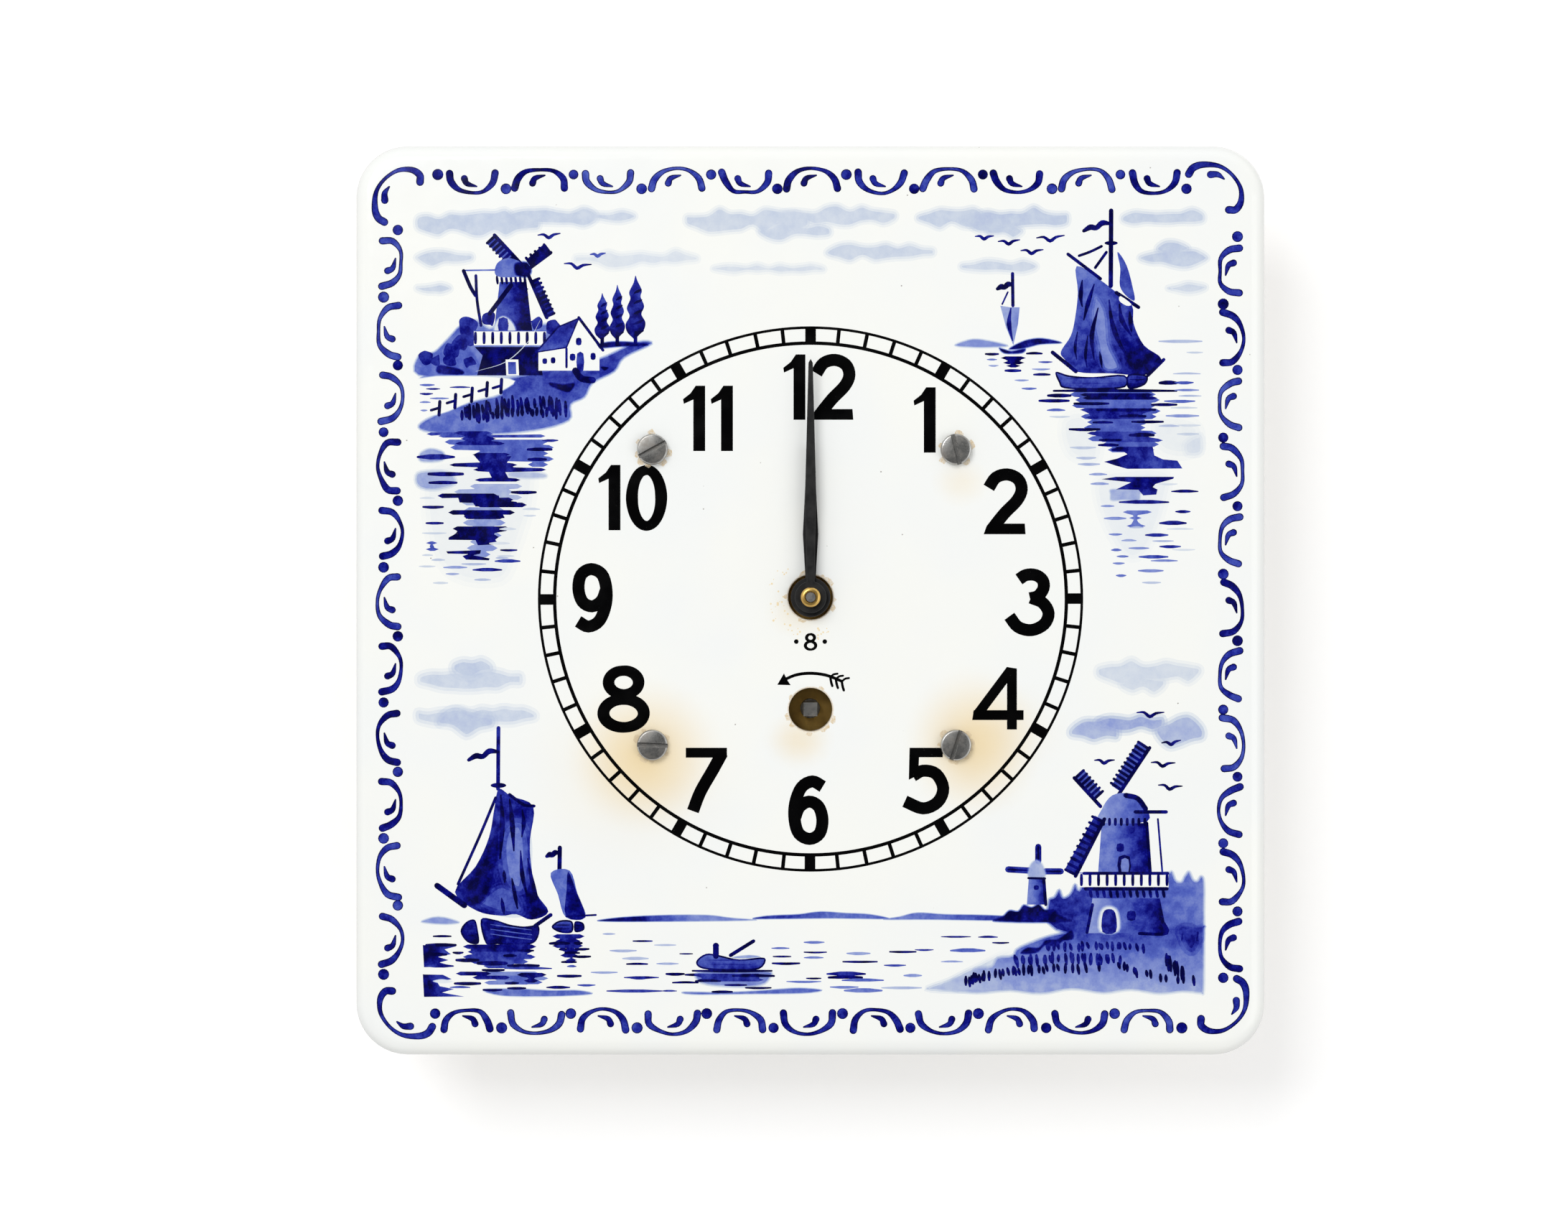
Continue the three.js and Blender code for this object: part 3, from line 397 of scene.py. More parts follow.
def mirrored(rows, tone, tip=0.42):
    """A reflection broken by the water: rows of (y, left, right) end in points, with necks between."""
    left, right = [], []
    for (y, x0, x1), below in zip(rows, rows[1:] + [None]):
        left += [(x0 + 1.2, y + tip), (x0, y), (x0 + 1.2, y - tip)]
        right += [(x1 - 1.2, y + tip), (x1, y), (x1 - 1.2, y - tip)]
        if below:
            middle = (y + below[0]) / 2
            left.append((max(x0, below[1]) + 0.9, middle))
            right.append((min(x1, below[2]) - 0.9, middle))
    lay(left + right[::-1], tone)


def tufts(path, count, height, tone=0.97):
    """Blades of grass along a line, leaning a little each way."""
    ground = spline(path, 8)
    for spot in np.linspace(0, len(ground) - 1, count).astype(int):
        x, y = ground[spot] + hand.uniform(-0.35, 0.35, 2)
        lean = hand.uniform(-0.5, 0.1)
        tall = height * hand.uniform(0.6, 1.15)
        dab([(x, y - tall / 2), (x + lean, y + tall / 2)], 1.05, tone, taper=0.55)


print("water and grass are ready")

# %% [markdown]
# ## Windmills and houses
# A painted mill is a few plain marks: a tapering tower lit from the left, a white balcony with dark
# posts, and four lattice sails. They could be a long list of outlines for each mill. Two corners have a
# mill, in two sizes, so sail, tower and gallery are functions of their places and widths. The shade on
# a round wall is a ramp: a tone that grows from one side to the other, as thin ink does under a full
# brush.


# %% Sails, towers and balconies
def sail(hub, tip, width, bars, tone, start=0.22):
    """A lattice sail: a dark stock, a paler cloth on one side of it and bars across."""
    hub, tip = np.array(hub, float), np.array(tip, float)
    along = (tip - hub) / np.linalg.norm(tip - hub)
    aside = np.array([-along[1], along[0]])
    root = hub + start * (tip - hub)
    lay([root, tip, tip + aside * width, root + aside * width * 0.8], tone)
    line([hub, tip], 0.95, 1)
    for share in np.linspace(start + 0.03, 0.98, bars):
        spot = hub + (tip - hub) * share
        dab([spot, spot + aside * width * 0.94], 0.8, 1, taper=0.9)


def tower(x, y_low, y_high, low_width, high_width, lit, shaded):
    """A round tapering wall, lit from the left."""
    outline = [
        (x - low_width / 2, y_low),
        (x + low_width / 2, y_low),
        (x + high_width / 2, y_high),
        (x - high_width / 2, y_high),
    ]
    lay(outline, ramp((x - low_width * 0.25, y_low), (x + low_width * 0.36, y_low), lit, shaded))
    line([outline[1], outline[2]], 0.8, 1)


def gallery(x, y, width, height, posts=9):
    """A white balcony with dark posts and a rail."""
    left, right = x - width / 2, x + width / 2
    lay(oblong(left, right, y, y + height), 0)
    line([(left, y + height), (right, y + height)], 0.22, 0.6)
    for post in np.linspace(left + 0.4, right - 0.4, posts):
        dab([(post, y + 0.6), (post, y + height - 0.5)], 0.85, 0.97, taper=0.8)


def opening(x, y, width, height, tone=0.92):
    """A small window or door with soft corners."""
    half, up = width / 2, height / 2
    patch(oblong(x - half, x + half, y - up, y + up), tone, 2)


print("sail, tower, gallery and opening are ready")


# %% Cypresses and houses
LOBES = [
    (0.1, 0.08), (0.42, 0.18), (0.5, 0.3), (0.3, 0.42), (0.44, 0.54), (0.26, 0.68), (0.32, 0.78),
    (0.1, 0.92),
]


def cypress(x, y_low, y_high, width):
    """A slim tree of three lobes, one above the other."""
    shape = [(0, 0), *LOBES, (0, 1), *((-px, py - 0.03) for px, py in reversed(LOBES))]
    tall = y_high - y_low
    outline = [(x + px * width, y_low + py * tall) for px, py in shape]
    patch(outline, ramp((x, y_high), (x, y_low), 0.74, 0.96))
    for share in np.linspace(0.14, 0.76, 5):
        reach = width * 0.42 * (1 - 0.4 * share)
        y = y_low + share * tall
        dab([(x - reach * 0.2, y - 0.4), (x + reach, y + 0.5)], 0.9, 1)
    line([(x, y_low - 0.6), (x, y_low + 0.14 * tall)], 0.95, 1)


def house(x, y, width, height):
    """A white gabled house with a tiled roof on its left and a lean-to."""
    ridge = y + height
    eaves = y + height * 0.42
    left, right = x - width / 2, x + width / 2
    gable = x + width * 0.16
    lay([(left, y), (right, y), (right, eaves), (gable, ridge), (left, eaves - 0.5)], 0)
    valley = gable - width * 0.2
    roof = [
        (left - 0.6, eaves - 0.9), (valley, eaves + 0.3), (gable, ridge),
        (gable - width * 0.34, ridge - 2.2),
    ]
    lay(roof, ramp((left, y), (gable, ridge), 0.6, 0.85))
    for start, end, thick in [(0, 1, 0.35), (0, 3, 0.45), (3, 2, 0.4), (1, 2, 0.35)]:
        line([roof[start], roof[end]], thick, 0.93)
    line([(gable, ridge + 0.2), (right + 0.9, eaves - 0.4)], 0.75, 0.97)
    line([(valley, eaves), (valley, y + 0.9)], 0.6, 0.93)
    opening(gable, eaves + 1.8, 1.2, 1.6)
    opening(gable - width * 0.1, y + 3.4, 1.2, 1.5)
    opening(right - 1.6, y + 3.6, 1.1, 1.5)
    opening(gable + 0.4, y + 2.2, 1.6, 4.2, 0.8)
    opening(left + 1.6, y + 2.4, 1, 1.2)
    opening(left + 3.7, y + 2.6, 1, 1.3)


print("cypress and house are ready")

# %% [markdown]
# ## Ships
# The other two corners hold flat-bottomed sailing barges, each with a pennant at the masthead. Their
# sails could be shaded by many small patches. A painter uses one graded wash and a few dark folds over
# it, and so does this cell: a fold is a stroke that is thin at both ends, and a hull is a dark edge
# round a fill that deepens towards the water.


# %% Pennants, folds and hulls
def pennant(x, y, length):
    """A flag that streams to the left: a stroke along a wave that droops towards its tip."""
    wave = [(0, 0.4), (0.3, 0.5), (0.52, -0.4), (0.75, -0.3), (1, -1)]
    path = [(x - px * length, y + py * length * 0.2) for px, py in wave]
    lay(stroke(path, [0.8, 1.5, 1.3, 1.5, 0.9], steps=4, cap=3), 0.96)


def folds(lines, width, tone=0.97):
    """Dark folds of a sail, one dab for each path."""
    for path in lines:
        dab(path, width, tone, taper=0.25)


def planked(points, tone, deep=0.95):
    """A hull or board: a dark edge round a fill that deepens towards the water."""
    body = anticlockwise(spline(points, 4, closed=True))
    low, high = body[:, 1].min(), body[:, 1].max()
    lay(body, 1)
    lay(grown(body, -0.45), ramp((0, high), (0, low), tone, deep))
    left, right = body[:, 0].min(), body[:, 0].max()
    for share in (0.36, 0.62):
        y = low + (high - low) * share
        streaks([(left + 0.16 * (right - left), right - 0.2 * (right - left), y, 0.3, deep)])


print("pennant, folds and hull are ready")

# %% [markdown]
# ## Top left: a mill, a house and cypresses on a bank
# The scene is built up as its painter did it, from pale to dark: clouds, trees and bank first, then the
# mill and the house, and last the water. It could be drawn from front to back, with every outline cut
# short where another hides it. From back to front is easier, because what comes later covers what lies
# under it, and each outline stays whole.

# %% Sky over the mill
clouds([
    (-84, 94.4, 31, 5.8, 0.22), (-65, 95.9, 22, 5.4, 0.22), (-52.4, 96, 16, 3.4, 0.2),
    (-92.4, 85.6, 14, 4.2, 0.21), (-95.2, 77.8, 8.6, 2.4, 0.22), (-44, 85.4, 31, 4.4, 0.14),
    (-16, 95, 31, 5.8, 0.2), (7, 96.2, 29, 4.6, 0.2), (-4, 92.4, 18, 4.4, 0.2),
    (-10.6, 82.8, 28, 2.6, 0.16), (17.6, 87, 27, 4.2, 0.2),
])
bird(-66, 91.2, 5.6)
bird(-58.8, 83.6, 6.8)
bird(-53.7, 86.4, 3.8, 0.7)
tell("the sky at top left")

# %% Trees, bank and cypresses
wash([
    (-90, 57), (-88, 64), (-85, 70), (-81, 68), (-78, 69.5), (-68, 69), (-64, 68.5), (-62, 60), (-70, 56),
], 0.55, 0.7)
wash([
    (-99, 56), (-99, 61), (-95, 62), (-91, 66), (-88, 68.5), (-86, 63), (-84, 60), (-84, 56),
], 0.62, 0.5)
for x, y, radius in [
    (-86.7, 68.1, 2.3), (-85.6, 65.6, 2.2), (-88.2, 64.2, 2.1), (-90.6, 62.2, 2.2), (-91, 60, 1.7),
    (-97, 60.6, 1.6), (-94.8, 59.9, 1.3), (-86.2, 59.4, 1.5), (-81, 70, 1.7), (-69, 69.2, 1.5),
    (-65, 68.2, 1.7),
]:
    patch(circle(x, y, radius, 8) + hand.uniform(-0.5, 0.5, (8, 2)), 0.84, 3)
wash([(-94, 58.6), (-91, 58.2), (-88, 57.4), (-88, 56.2), (-94, 56.5)], 0.95, 0.3)

bank = [
    (-99, 55.4), (-84, 55.6), (-76, 55.4), (-66, 57.4), (-54, 60), (-44, 64.4), (-40, 64), (-47, 60.5),
    (-49.5, 57), (-55, 54), (-57, 50.5), (-60.5, 48.6), (-61, 44.6), (-70, 42), (-84, 41), (-96, 41.6),
    (-99, 43.4), (-94, 46.4), (-86, 49.2), (-78, 52),
]
wash(bank, ramp((-70, 58), (-72, 42), 0.78, 0.6), 0.6)
wash([(-99.2, 46.5), (-99.2, 55.2), (-76, 55.2), (-78, 52), (-86, 49.4), (-93, 46.4)], 0, 0.3, 1)
wash([(-54, 63.8), (-50, 64.6), (-44, 64.4), (-41, 63.6), (-48, 63.2), (-54, 62.8)], 0.95, 0.3)
for x, y_high, width in [(-52.6, 76.8, 3.9), (-48.8, 78.9, 3.9), (-44.2, 81.2, 5)]:
    cypress(x, 64.4, y_high, width)
tell("the bank")

# %% The mill
sail((-72.2, 83.2), (-79.8, 91.4), 2.9, 8, 0.72)
sail((-71.8, 82.6), (-66.6, 70.6), 2.3, 9, 0.88)
tower(-75.3, 66.6, 79.6, 9.4, 6.4, 0.66, 1)
for y in np.linspace(69, 78, 7):
    dab([(-73.4, y), (-71.4, y - 0.2)], 0.8, 0.96)
for x in np.linspace(-79.2, -72.2, 7):
    dab([(x, 80.9), (x + 0.2, 79.2)], 0.75, 0.97, taper=0.7)
patch([
    (-79.4, 81.2), (-79.2, 84.2), (-76.4, 85.6), (-73, 84.4), (-71.6, 81.6), (-75, 80.8),
], 0.58)
wash([(-74.6, 84.2), (-71.6, 84.6), (-70.4, 82.4), (-71.6, 80.8), (-74.4, 81.4)], 1, 0.4, 1)
line([(-75.6, 78.8), (-81, 71.6)], 1.15, 1)
sail((-71.8, 82.4), (-65.6, 87), 2.8, 5, 0.97)
line([(-79.6, 82.6), (-87.6, 82.5)], 0.4, 0.6)
line([(-87.6, 82.4), (-85.9, 78.4), (-84.6, 76.2)], 0.95, 0.97)
line([(-84.5, 81.2), (-84.2, 75), (-83.2, 68.6)], 0.75, 0.97)
wash([(-79.6, 67), (-79.4, 69.6), (-77.6, 71), (-75.4, 69.6), (-74.6, 67)], 0.12, 0.4)
opening(-77.6, 68.6, 2.2, 3.4, 0.8)
gallery(-75.9, 63.6, 18.2, 3.6)
lay([(-84.8, 63.2), (-66.6, 63.2), (-68.4, 61.4), (-67.6, 56), (-84.2, 56), (-82.8, 61)], 1)
lay([(-76.8, 56), (-73.6, 56), (-73.8, 60), (-77, 60)], 0)
lay([(-76.3, 56.3), (-74.3, 56.3), (-74.4, 59.4), (-76.4, 59.4)], 0.7)
tell("the mill")

# %% The house, the fence and the grass
house(-61, 57.2, 15.4, 13.2)
line([(-59.4, 57.2), (-57.8, 55.2), (-55, 54.8)], 1.7, 0.97)
wash([(-66, 54.2), (-62.6, 53.8), (-59.6, 54), (-61, 51.8), (-65, 53)], 1, 0.3)
wash([(-53, 58.2), (-51, 58), (-52, 57.2)], 0.97, 0.2)
for x, y in [(-93.8, 47.8), (-89.8, 49.6), (-85.6, 51.2), (-81.8, 52.6), (-78.2, 53.4)]:
    line([(x, y - 1.8), (x + 0.2, y + 1.6)], 0.85, 1)
    line([(x - 2, y - 0.6), (x, y)], 0.7, 0.97)
tufts([(-88, 46.2), (-82, 47.8), (-74, 48.6), (-66, 48.8), (-62, 47.6)], 30, 3.4)
tufts([(-84, 45.4), (-74, 46.8), (-64, 46.4)], 24, 2.2)
streaks([
    (-98.6, -95, 53.6, 0.6, 0.6), (-97, -93.6, 52.6, 0.5, 0.8), (-98.6, -95.4, 51.4, 0.6, 0.75),
    (-91, -86, 53, 0.5, 0.85), (-96, -91.4, 50.2, 0.5, 0.5), (-98.6, -96, 49.2, 0.5, 0.5),
    (-98.4, -96.8, 47.2, 0.5, 0.5),
])
tell("the house")

# %% The water under the mill
wash([(-97, 30), (-90, 34), (-72, 33), (-70, 26), (-74, 12), (-78, 4), (-90, 5), (-96, 14)], 0.065, 2.4)
wash([(-98.6, 36.4), (-96, 37.6), (-92.6, 36.6), (-93, 34.4), (-98.4, 34.2)], 0.4, 0.5)
wash([(-76, 31.6), (-71, 31.8), (-67, 31.2), (-67.4, 30), (-75.4, 30.2)], 0.3, 0.6)
mirrored([
    (39.2, -92.4, -66.4), (37.8, -91, -64.8), (36.3, -84.6, -66.2), (34.9, -77.6, -64.8),
    (33.5, -71.4, -66.2),
], 0.62, 0.6)
wash([(-99.3, 31.4), (-94, 32), (-90.4, 31), (-89.8, 28.5), (-95, 27), (-99.2, 28)], 0.38, 0.8)
mirrored([(28, -86, -72.8), (26.6, -90, -75), (25.2, -84, -72.8), (23.8, -88, -76)], 0.34, 0.6)
mirrored([
    (22, -87.4, -77.4), (20.4, -86, -78.2), (18.8, -87.8, -77), (17.2, -86.4, -78.8), (15.6, -87, -78),
    (14, -86, -79.8), (12.4, -86.8, -79), (10.8, -86.2, -80.8),
], 0.42, 0.7)
mirrored([(41.2, -97, -80), (40.7, -94, -66.9)], 0.72)
mirrored([(41.5, -90, -80.6), (40, -88.4, -79.4), (38.8, -89.8, -77.2)], 0.86)
mirrored([
    (36, -85.4, -75.8), (34.8, -82.6, -77), (33.4, -91.2, -74), (32.2, -85.2, -66.7), (30.9, -81, -76.8),
    (29.6, -84.8, -73.2),
], 0.9)
lay([
    (-85, 35.8), (-75.5, 35.6), (-77.6, 32.6), (-75.8, 29.2), (-80, 29.2), (-81.2, 31.6), (-83.4, 34),
], 0.88)
lay([
    (-89, 25.2), (-78.7, 25.7), (-78.4, 24.6), (-74.2, 24.1), (-74, 22.9), (-84.6, 22.9), (-85.2, 23.8),
    (-88.6, 23.9),
], 0.96)
mirrored([(25.6, -94.2, -78.8), (24.6, -88.8, -75), (23.3, -84.6, -71.6)], 0.97, 0.6)
lay([(-88, 21.6), (-78, 21.6), (-77.2, 20), (-80, 19.8), (-87, 19.8)], 0.96)
mirrored([(21.4, -91.5, -74.6), (20.3, -87.6, -77.2)], 0.97, 0.6)
lay([
    (-91.4, 15), (-87.8, 15.4), (-85.1, 17.2), (-81.4, 16.8), (-78.7, 15.2), (-79.6, 14.5), (-78.7, 13.4),
    (-84, 13.1), (-84.6, 14.4), (-91.4, 14.5),
], 0.97)
mirrored([(17.3, -90.4, -75.8), (15.1, -91.4, -78.8)], 0.98, 0.6)
lay([
    (-92, 11.6), (-83.2, 11.9), (-83.4, 11), (-85.1, 10.6), (-81, 9.8), (-81.2, 9.3), (-87, 9.5),
    (-87.9, 10.4), (-86.4, 10.9), (-91.6, 11),
], 0.97)
mirrored([(13.7, -97.1, -94.2), (12.1, -97.2, -93.8)], 0.7)
streaks([
    (-99.2, -90, 35.4, 1.4, 0.84), (-71.4, -65.4, 37.3, 0.9, 0.94), (-71.2, -66.8, 34.8, 0.9, 0.94),
    (-67.6, -63.8, 39.6, 0.7, 0.8), (-96.4, -87.8, 31.1, 1.1, 0.96), (-96.2, -89.4, 28.9, 0.9, 0.95),
    (-75.4, -69.4, 26.5, 0.9, 0.95), (-97.8, -92.8, 22.8, 0.8, 0.9), (-97, -92.8, 18.7, 0.7, 0.9),
    (-78.2, -74.2, 11.9, 0.6, 0.95), (-79.6, -73.4, 9.1, 0.9, 0.78), (-85.2, -78, 6.9, 0.9, 0.84),
    (-72.6, -68.4, 22.2, 0.6, 0.2), (-78.4, -74.4, 17.2, 0.7, 0.18), (-81, -76, 13.6, 0.7, 0.16),
    (-88, -82, 8.4, 0.6, 0.3), (-98.6, -95, 25, 0.6, 0.15), (-98, -95.4, 10.6, 0.5, 0.2),
    (-95.6, -92.4, 9.4, 0.6, 0.25), (-79.4, -76.4, 9.9, 0.6, 0.3), (-92.6, -86.8, 7.5, 0.7, 0.4),
    (-92, -88.8, 5.9, 0.6, 0.35), (-84.8, -80.8, 4.4, 0.6, 0.3), (-95.2, -91.6, 3.6, 0.6, 0.2),
    (-98.8, -94.8, 7.8, 0.5, 0.2), (-72.4, -69.4, 20.6, 0.5, 0.2), (-98, -92, 16.2, 0.5, 0.2),
    (-79, -75, 10.4, 0.5, 0.2),
])
tell("the water at top left")

# %% [markdown]
# ## Top right: a sailing barge and a smaller one far off
# The barge is the darkest thing here, and its mirror image fills the corner below it. The water could
# be the barge's own outlines with y turned over. But moving water breaks an image into level dashes, so
# the reflection is drawn as such: pale washes, then solid pieces with ragged ends, then dashes that
# grow thinner and paler with the distance from the hull.

# %% Sky, far shore and far barge
clouds([
    (37, 95.6, 20, 4.6, 0.22), (52, 95.2, 26, 5.8, 0.24), (49, 92.4, 9, 3.4, 0.22),
    (47.5, 83.6, 19, 3.4, 0.2), (89, 95.8, 20.6, 4.4, 0.22), (91.6, 85.6, 17, 4.4, 0.24),
    (91.4, 88, 8, 3.4, 0.24), (95, 78, 9.6, 2.6, 0.2),
])
for x, y, span in [(43.9, 90.8, 4.6), (50.1, 89.6, 5.4), (60.6, 90.5, 7), (55.9, 87.2, 5.6)]:
    bird(x, y, span)

wash([(36.5, 63.8), (41, 65.2), (46, 64.6), (50, 63.4), (44, 63), (38, 63.2)], 0.45, 0.4)
wash([(50, 62.6), (54, 64.8), (58.6, 65.4), (63.6, 64.2), (58, 63.8), (54, 62.8)], 0.95, 0.3)
lay([
    (47.9, 73.6), (50.4, 73.2), (52.8, 73.2), (52.4, 69), (51.2, 63.6), (49.4, 68),
], ramp((48, 70), (53, 70), 0.35, 0.5))
folds([[(50.6, 73), (50.1, 69), (51, 64.8)]], 1.3, 0.9)
line([(51, 81.7), (51.1, 73.6)], 0.85, 0.96)
pennant(51, 78.6, 3.8)
line([(48.4, 74), (49.8, 77)], 0.45, 0.9)
wash([(47.6, 63), (50.6, 62.2), (54.2, 62.8), (53.4, 61.6), (49, 61.5)], 0.97, 0.3)
mirrored([(60.4, 48, 54.4), (59.2, 48.6, 54), (58.4, 49.4, 53)], 0.97)
streaks([
    (44.2, 47.4, 61.4, 0.7, 1), (54.6, 58.4, 61.5, 0.7, 1), (49.2, 53, 57.2, 0.8, 0.9),
    (56.4, 60.4, 56.2, 0.7, 0.9), (44.6, 47, 60, 0.5, 0.5), (45, 47.4, 58.5, 0.5, 0.35),
    (57.6, 61, 59.4, 0.5, 0.7), (56, 60.4, 57.6, 0.5, 0.45), (51.6, 55, 54.8, 0.5, 0.4),
    (53.4, 57, 52.7, 0.6, 0.55), (88, 98.8, 64.6, 0.8, 0.3), (95, 99, 61.8, 0.5, 0.2),
])
tell("the far barge")

# %% The barge
mainsail = [
    (67.2, 83.6), (73, 80.2), (77.4, 76.8), (81.2, 73.6), (81.6, 69), (84.2, 63.6), (88.6, 60.1),
    (85, 56.2), (76, 56.5), (67.3, 56.9), (64.2, 60), (63.2, 62), (65.7, 66), (66.8, 70.6), (67.5, 77),
]
patch(mainsail, ramp((66, 78), (84, 60), 0.6, 0.92))
wash([(72, 76), (74.6, 72), (75.4, 64), (78, 58), (74, 57.6), (72.4, 64), (71, 71)], 0.45, 1.2, 0.75)
wash([(79.6, 62), (84.4, 62.6), (87, 60), (84.4, 57.2), (80.4, 58)], 0.96, 0.7)
folds([
    [(68.6, 80), (68.2, 76), (68.6, 73.4)], [(71.6, 79), (70, 74), (69, 70)],
    [(72.6, 73), (71, 66), (71.6, 60)],
], 1.3)
folds([
    [(75.4, 75), (76, 70), (77.6, 65), (80.4, 60)], [(78, 74), (78.6, 70), (81, 66)],
    [(80.6, 72), (81, 67)],
], 1.4)
folds([
    [(67.4, 67), (66.8, 63), (67.2, 60)], [(70, 66), (69.4, 61), (69.8, 58)],
    [(73, 62), (73.6, 58)],
], 0.9)
patch([
    (77.5, 87.2), (79.8, 83.8), (81.4, 78), (81.8, 74.9), (79.8, 76), (78.1, 78.6), (78.2, 83),
], 0.68)
line([(75.9, 97.6), (75.8, 78.6)], 1.15, 0.97)
pennant(75.6, 93.8, 6.6)
patch(circle(0, 0, 1, 8) * (1.7, 0.55) + (75.9, 89.4), 0.96, 2)
line([(65, 86.6), (73.2, 80.4)], 0.85, 0.97)
line([(67.8, 86.2), (70.6, 87.2), (73.5, 88.6)], 0.7, 0.97)
line([(74.7, 87.1), (71.9, 83.2)], 0.75, 0.97)
line([(77.2, 76.9), (82.8, 73.2)], 0.95, 0.98)
patch([(78.3, 76), (81, 74), (79.8, 73.6), (78, 74.8)], 0, 3)
line([(61.1, 61.8), (67, 57)], 1, 1)
line([(89.2, 60), (85.2, 56)], 0.85, 0.96)
planked([
    (61.9, 56.9), (65.4, 56), (71.3, 55.6), (79.2, 56.1), (79.4, 53), (72, 52.4), (64.2, 52.7),
    (62.7, 54.2),
], 0.62, 0.8)
planked([(80.2, 56.2), (84.9, 56), (84.4, 53.6), (80.3, 52.6)], 0.75)
tell("the barge")

# %% The water under the barge
wash([(64, 45), (69, 46), (73, 40), (72, 34), (66, 35.4), (63.6, 40)], 0.07, 2.2)
wash([(86, 44), (93, 45), (98, 43), (98.2, 37.6), (94, 35.6), (88, 37.4)], 0.08, 2.4)
wash([(72, 29), (80, 31.6), (90, 31), (89, 22), (85, 12), (80, 10), (74.4, 18)], 0.07, 2)
mirrored([
    (51.2, 65.4, 87.2), (49.8, 66.8, 88.2), (48.4, 66, 87.2), (47, 69.2, 88.4), (45.6, 68.2, 87.4),
    (44.2, 69.8, 85.4), (42.8, 69, 84.6), (41.4, 71, 87.4), (40, 70, 86.4), (38.6, 73.6, 88),
    (37.2, 75, 86.8),
], 0.64, 0.62)
wash([
    (75.7, 27.2), (79, 27.3), (83.4, 27.2), (83.3, 26), (82.8, 24.4), (79, 24.5), (75.9, 24.4),
    (75.7, 26),
], 0.36, 0.4)
wash([(94.6, 39), (98.6, 41), (98.8, 36.4), (95, 36)], 0.16, 1.4)
mirrored([(51.1, 68, 86.6), (50.3, 68.6, 87.6)], 0.97)
mirrored([(47.3, 68, 87), (45.4, 69.4, 84.8)], 0.84)
mirrored([(41.4, 69.8, 86), (39.6, 72.6, 89)], 0.78)
lay([
    (76.7, 38), (86.4, 38), (86.8, 35.8), (89, 34.8), (92.6, 34.5), (93.9, 32.5), (80, 32.4),
    (77.1, 33.2), (74.1, 34.2), (77.4, 35), (80, 36.1), (78.4, 37.2),
], ramp((76, 36), (93, 33), 0.92, 0.72))
lay([
    (73.4, 29.8), (77.1, 30.4), (91.8, 30.4), (91.6, 29.9), (87.1, 28.6), (86.4, 27.8), (87.6, 27.2),
    (87.3, 25.9), (84, 25.7), (82.8, 27.1), (77.1, 27.2), (80.9, 29),
], 0.9)
mirrored([(21.5, 78.8, 86.2), (20, 80.4, 83.6), (18, 79.8, 84.6)], 0.58)
streaks([
    (61.4, 92.4, 52.1, 0.8, 1), (60, 65.6, 50.9, 1, 1), (57.8, 65.2, 49.6, 0.9, 0.92),
    (66.6, 75.2, 48.9, 0.8, 1), (86.2, 92.4, 48.6, 0.8, 1), (72.2, 87, 47.3, 0.8, 0.96),
    (78, 84.6, 45.7, 0.8, 1), (71.4, 76.2, 44.1, 0.7, 0.96), (81.2, 89, 44.3, 0.75, 1),
    (65.4, 73, 42.4, 0.8, 0.96), (80.6, 86.6, 40.9, 1, 1), (73, 78.4, 39.7, 0.7, 0.96),
    (72.8, 77.6, 38.4, 0.8, 0.96), (76.2, 80, 37.2, 1, 0.94), (78, 90.4, 24, 1, 0.86),
    (91.2, 97.8, 26.7, 0.8, 0.88), (92.2, 95.8, 21.6, 0.8, 0.84), (88.2, 94.8, 18.7, 1.1, 0.86),
    (84.6, 90.2, 15.7, 0.9, 0.76), (88.2, 93.4, 12.8, 0.8, 0.76), (83, 90.2, 10.2, 0.9, 0.7),
    (82.8, 89, 6.7, 0.8, 0.5), (86, 92.6, 9.2, 0.6, 0.5), (88.2, 92.4, 54.1, 1.1, 1),
    (92, 96.6, 54.2, 0.8, 0.7), (89.4, 97, 49.5, 0.8, 0.6), (89.8, 98, 45.8, 0.8, 0.42),
    (92, 98, 52.3, 0.6, 0.5), (88, 93, 43.2, 0.6, 0.3), (59.8, 64.2, 47.2, 0.7, 0.6),
    (91.6, 98.4, 56.4, 0.5, 0.3), (93, 98.6, 50.8, 0.5, 0.3), (91, 97.6, 47.8, 0.5, 0.2),
    (92.8, 98.4, 43.4, 0.6, 0.18), (92.6, 98, 41.2, 0.7, 0.2), (88, 92.6, 28.6, 0.5, 0.15),
    (90, 96.6, 17.2, 0.5, 0.15), (91.4, 97, 12, 0.5, 0.15), (60.4, 65.4, 45.6, 0.5, 0.2),
    (70.4, 74.6, 31, 0.6, 0.2), (86.4, 91.6, 14.2, 0.5, 0.3), (80.6, 84, 17.6, 0.5, 0.3),
    (67.2, 72, 35.2, 0.7, 0.3), (67.6, 73, 33.6, 0.7, 0.32), (70.4, 74.8, 31, 0.6, 0.4),
    (70.8, 75.2, 28.6, 0.7, 0.42), (73.4, 76.6, 23, 0.6, 0.45), (74.2, 79.6, 19.9, 0.8, 0.45),
    (75.4, 78.6, 15.9, 0.6, 0.5), (78.6, 82.2, 14.3, 0.6, 0.4), (76, 78.4, 11.9, 0.7, 0.55),
    (77.4, 80.2, 10.3, 0.6, 0.6), (76.4, 79.2, 8.6, 0.6, 0.5), (77.2, 79.6, 5.5, 0.7, 0.55),
    (80.4, 85.4, 12.4, 0.6, 0.5), (83.8, 88.4, 3.7, 0.6, 0.25), (65.6, 72, 37.8, 0.7, 0.25),
])
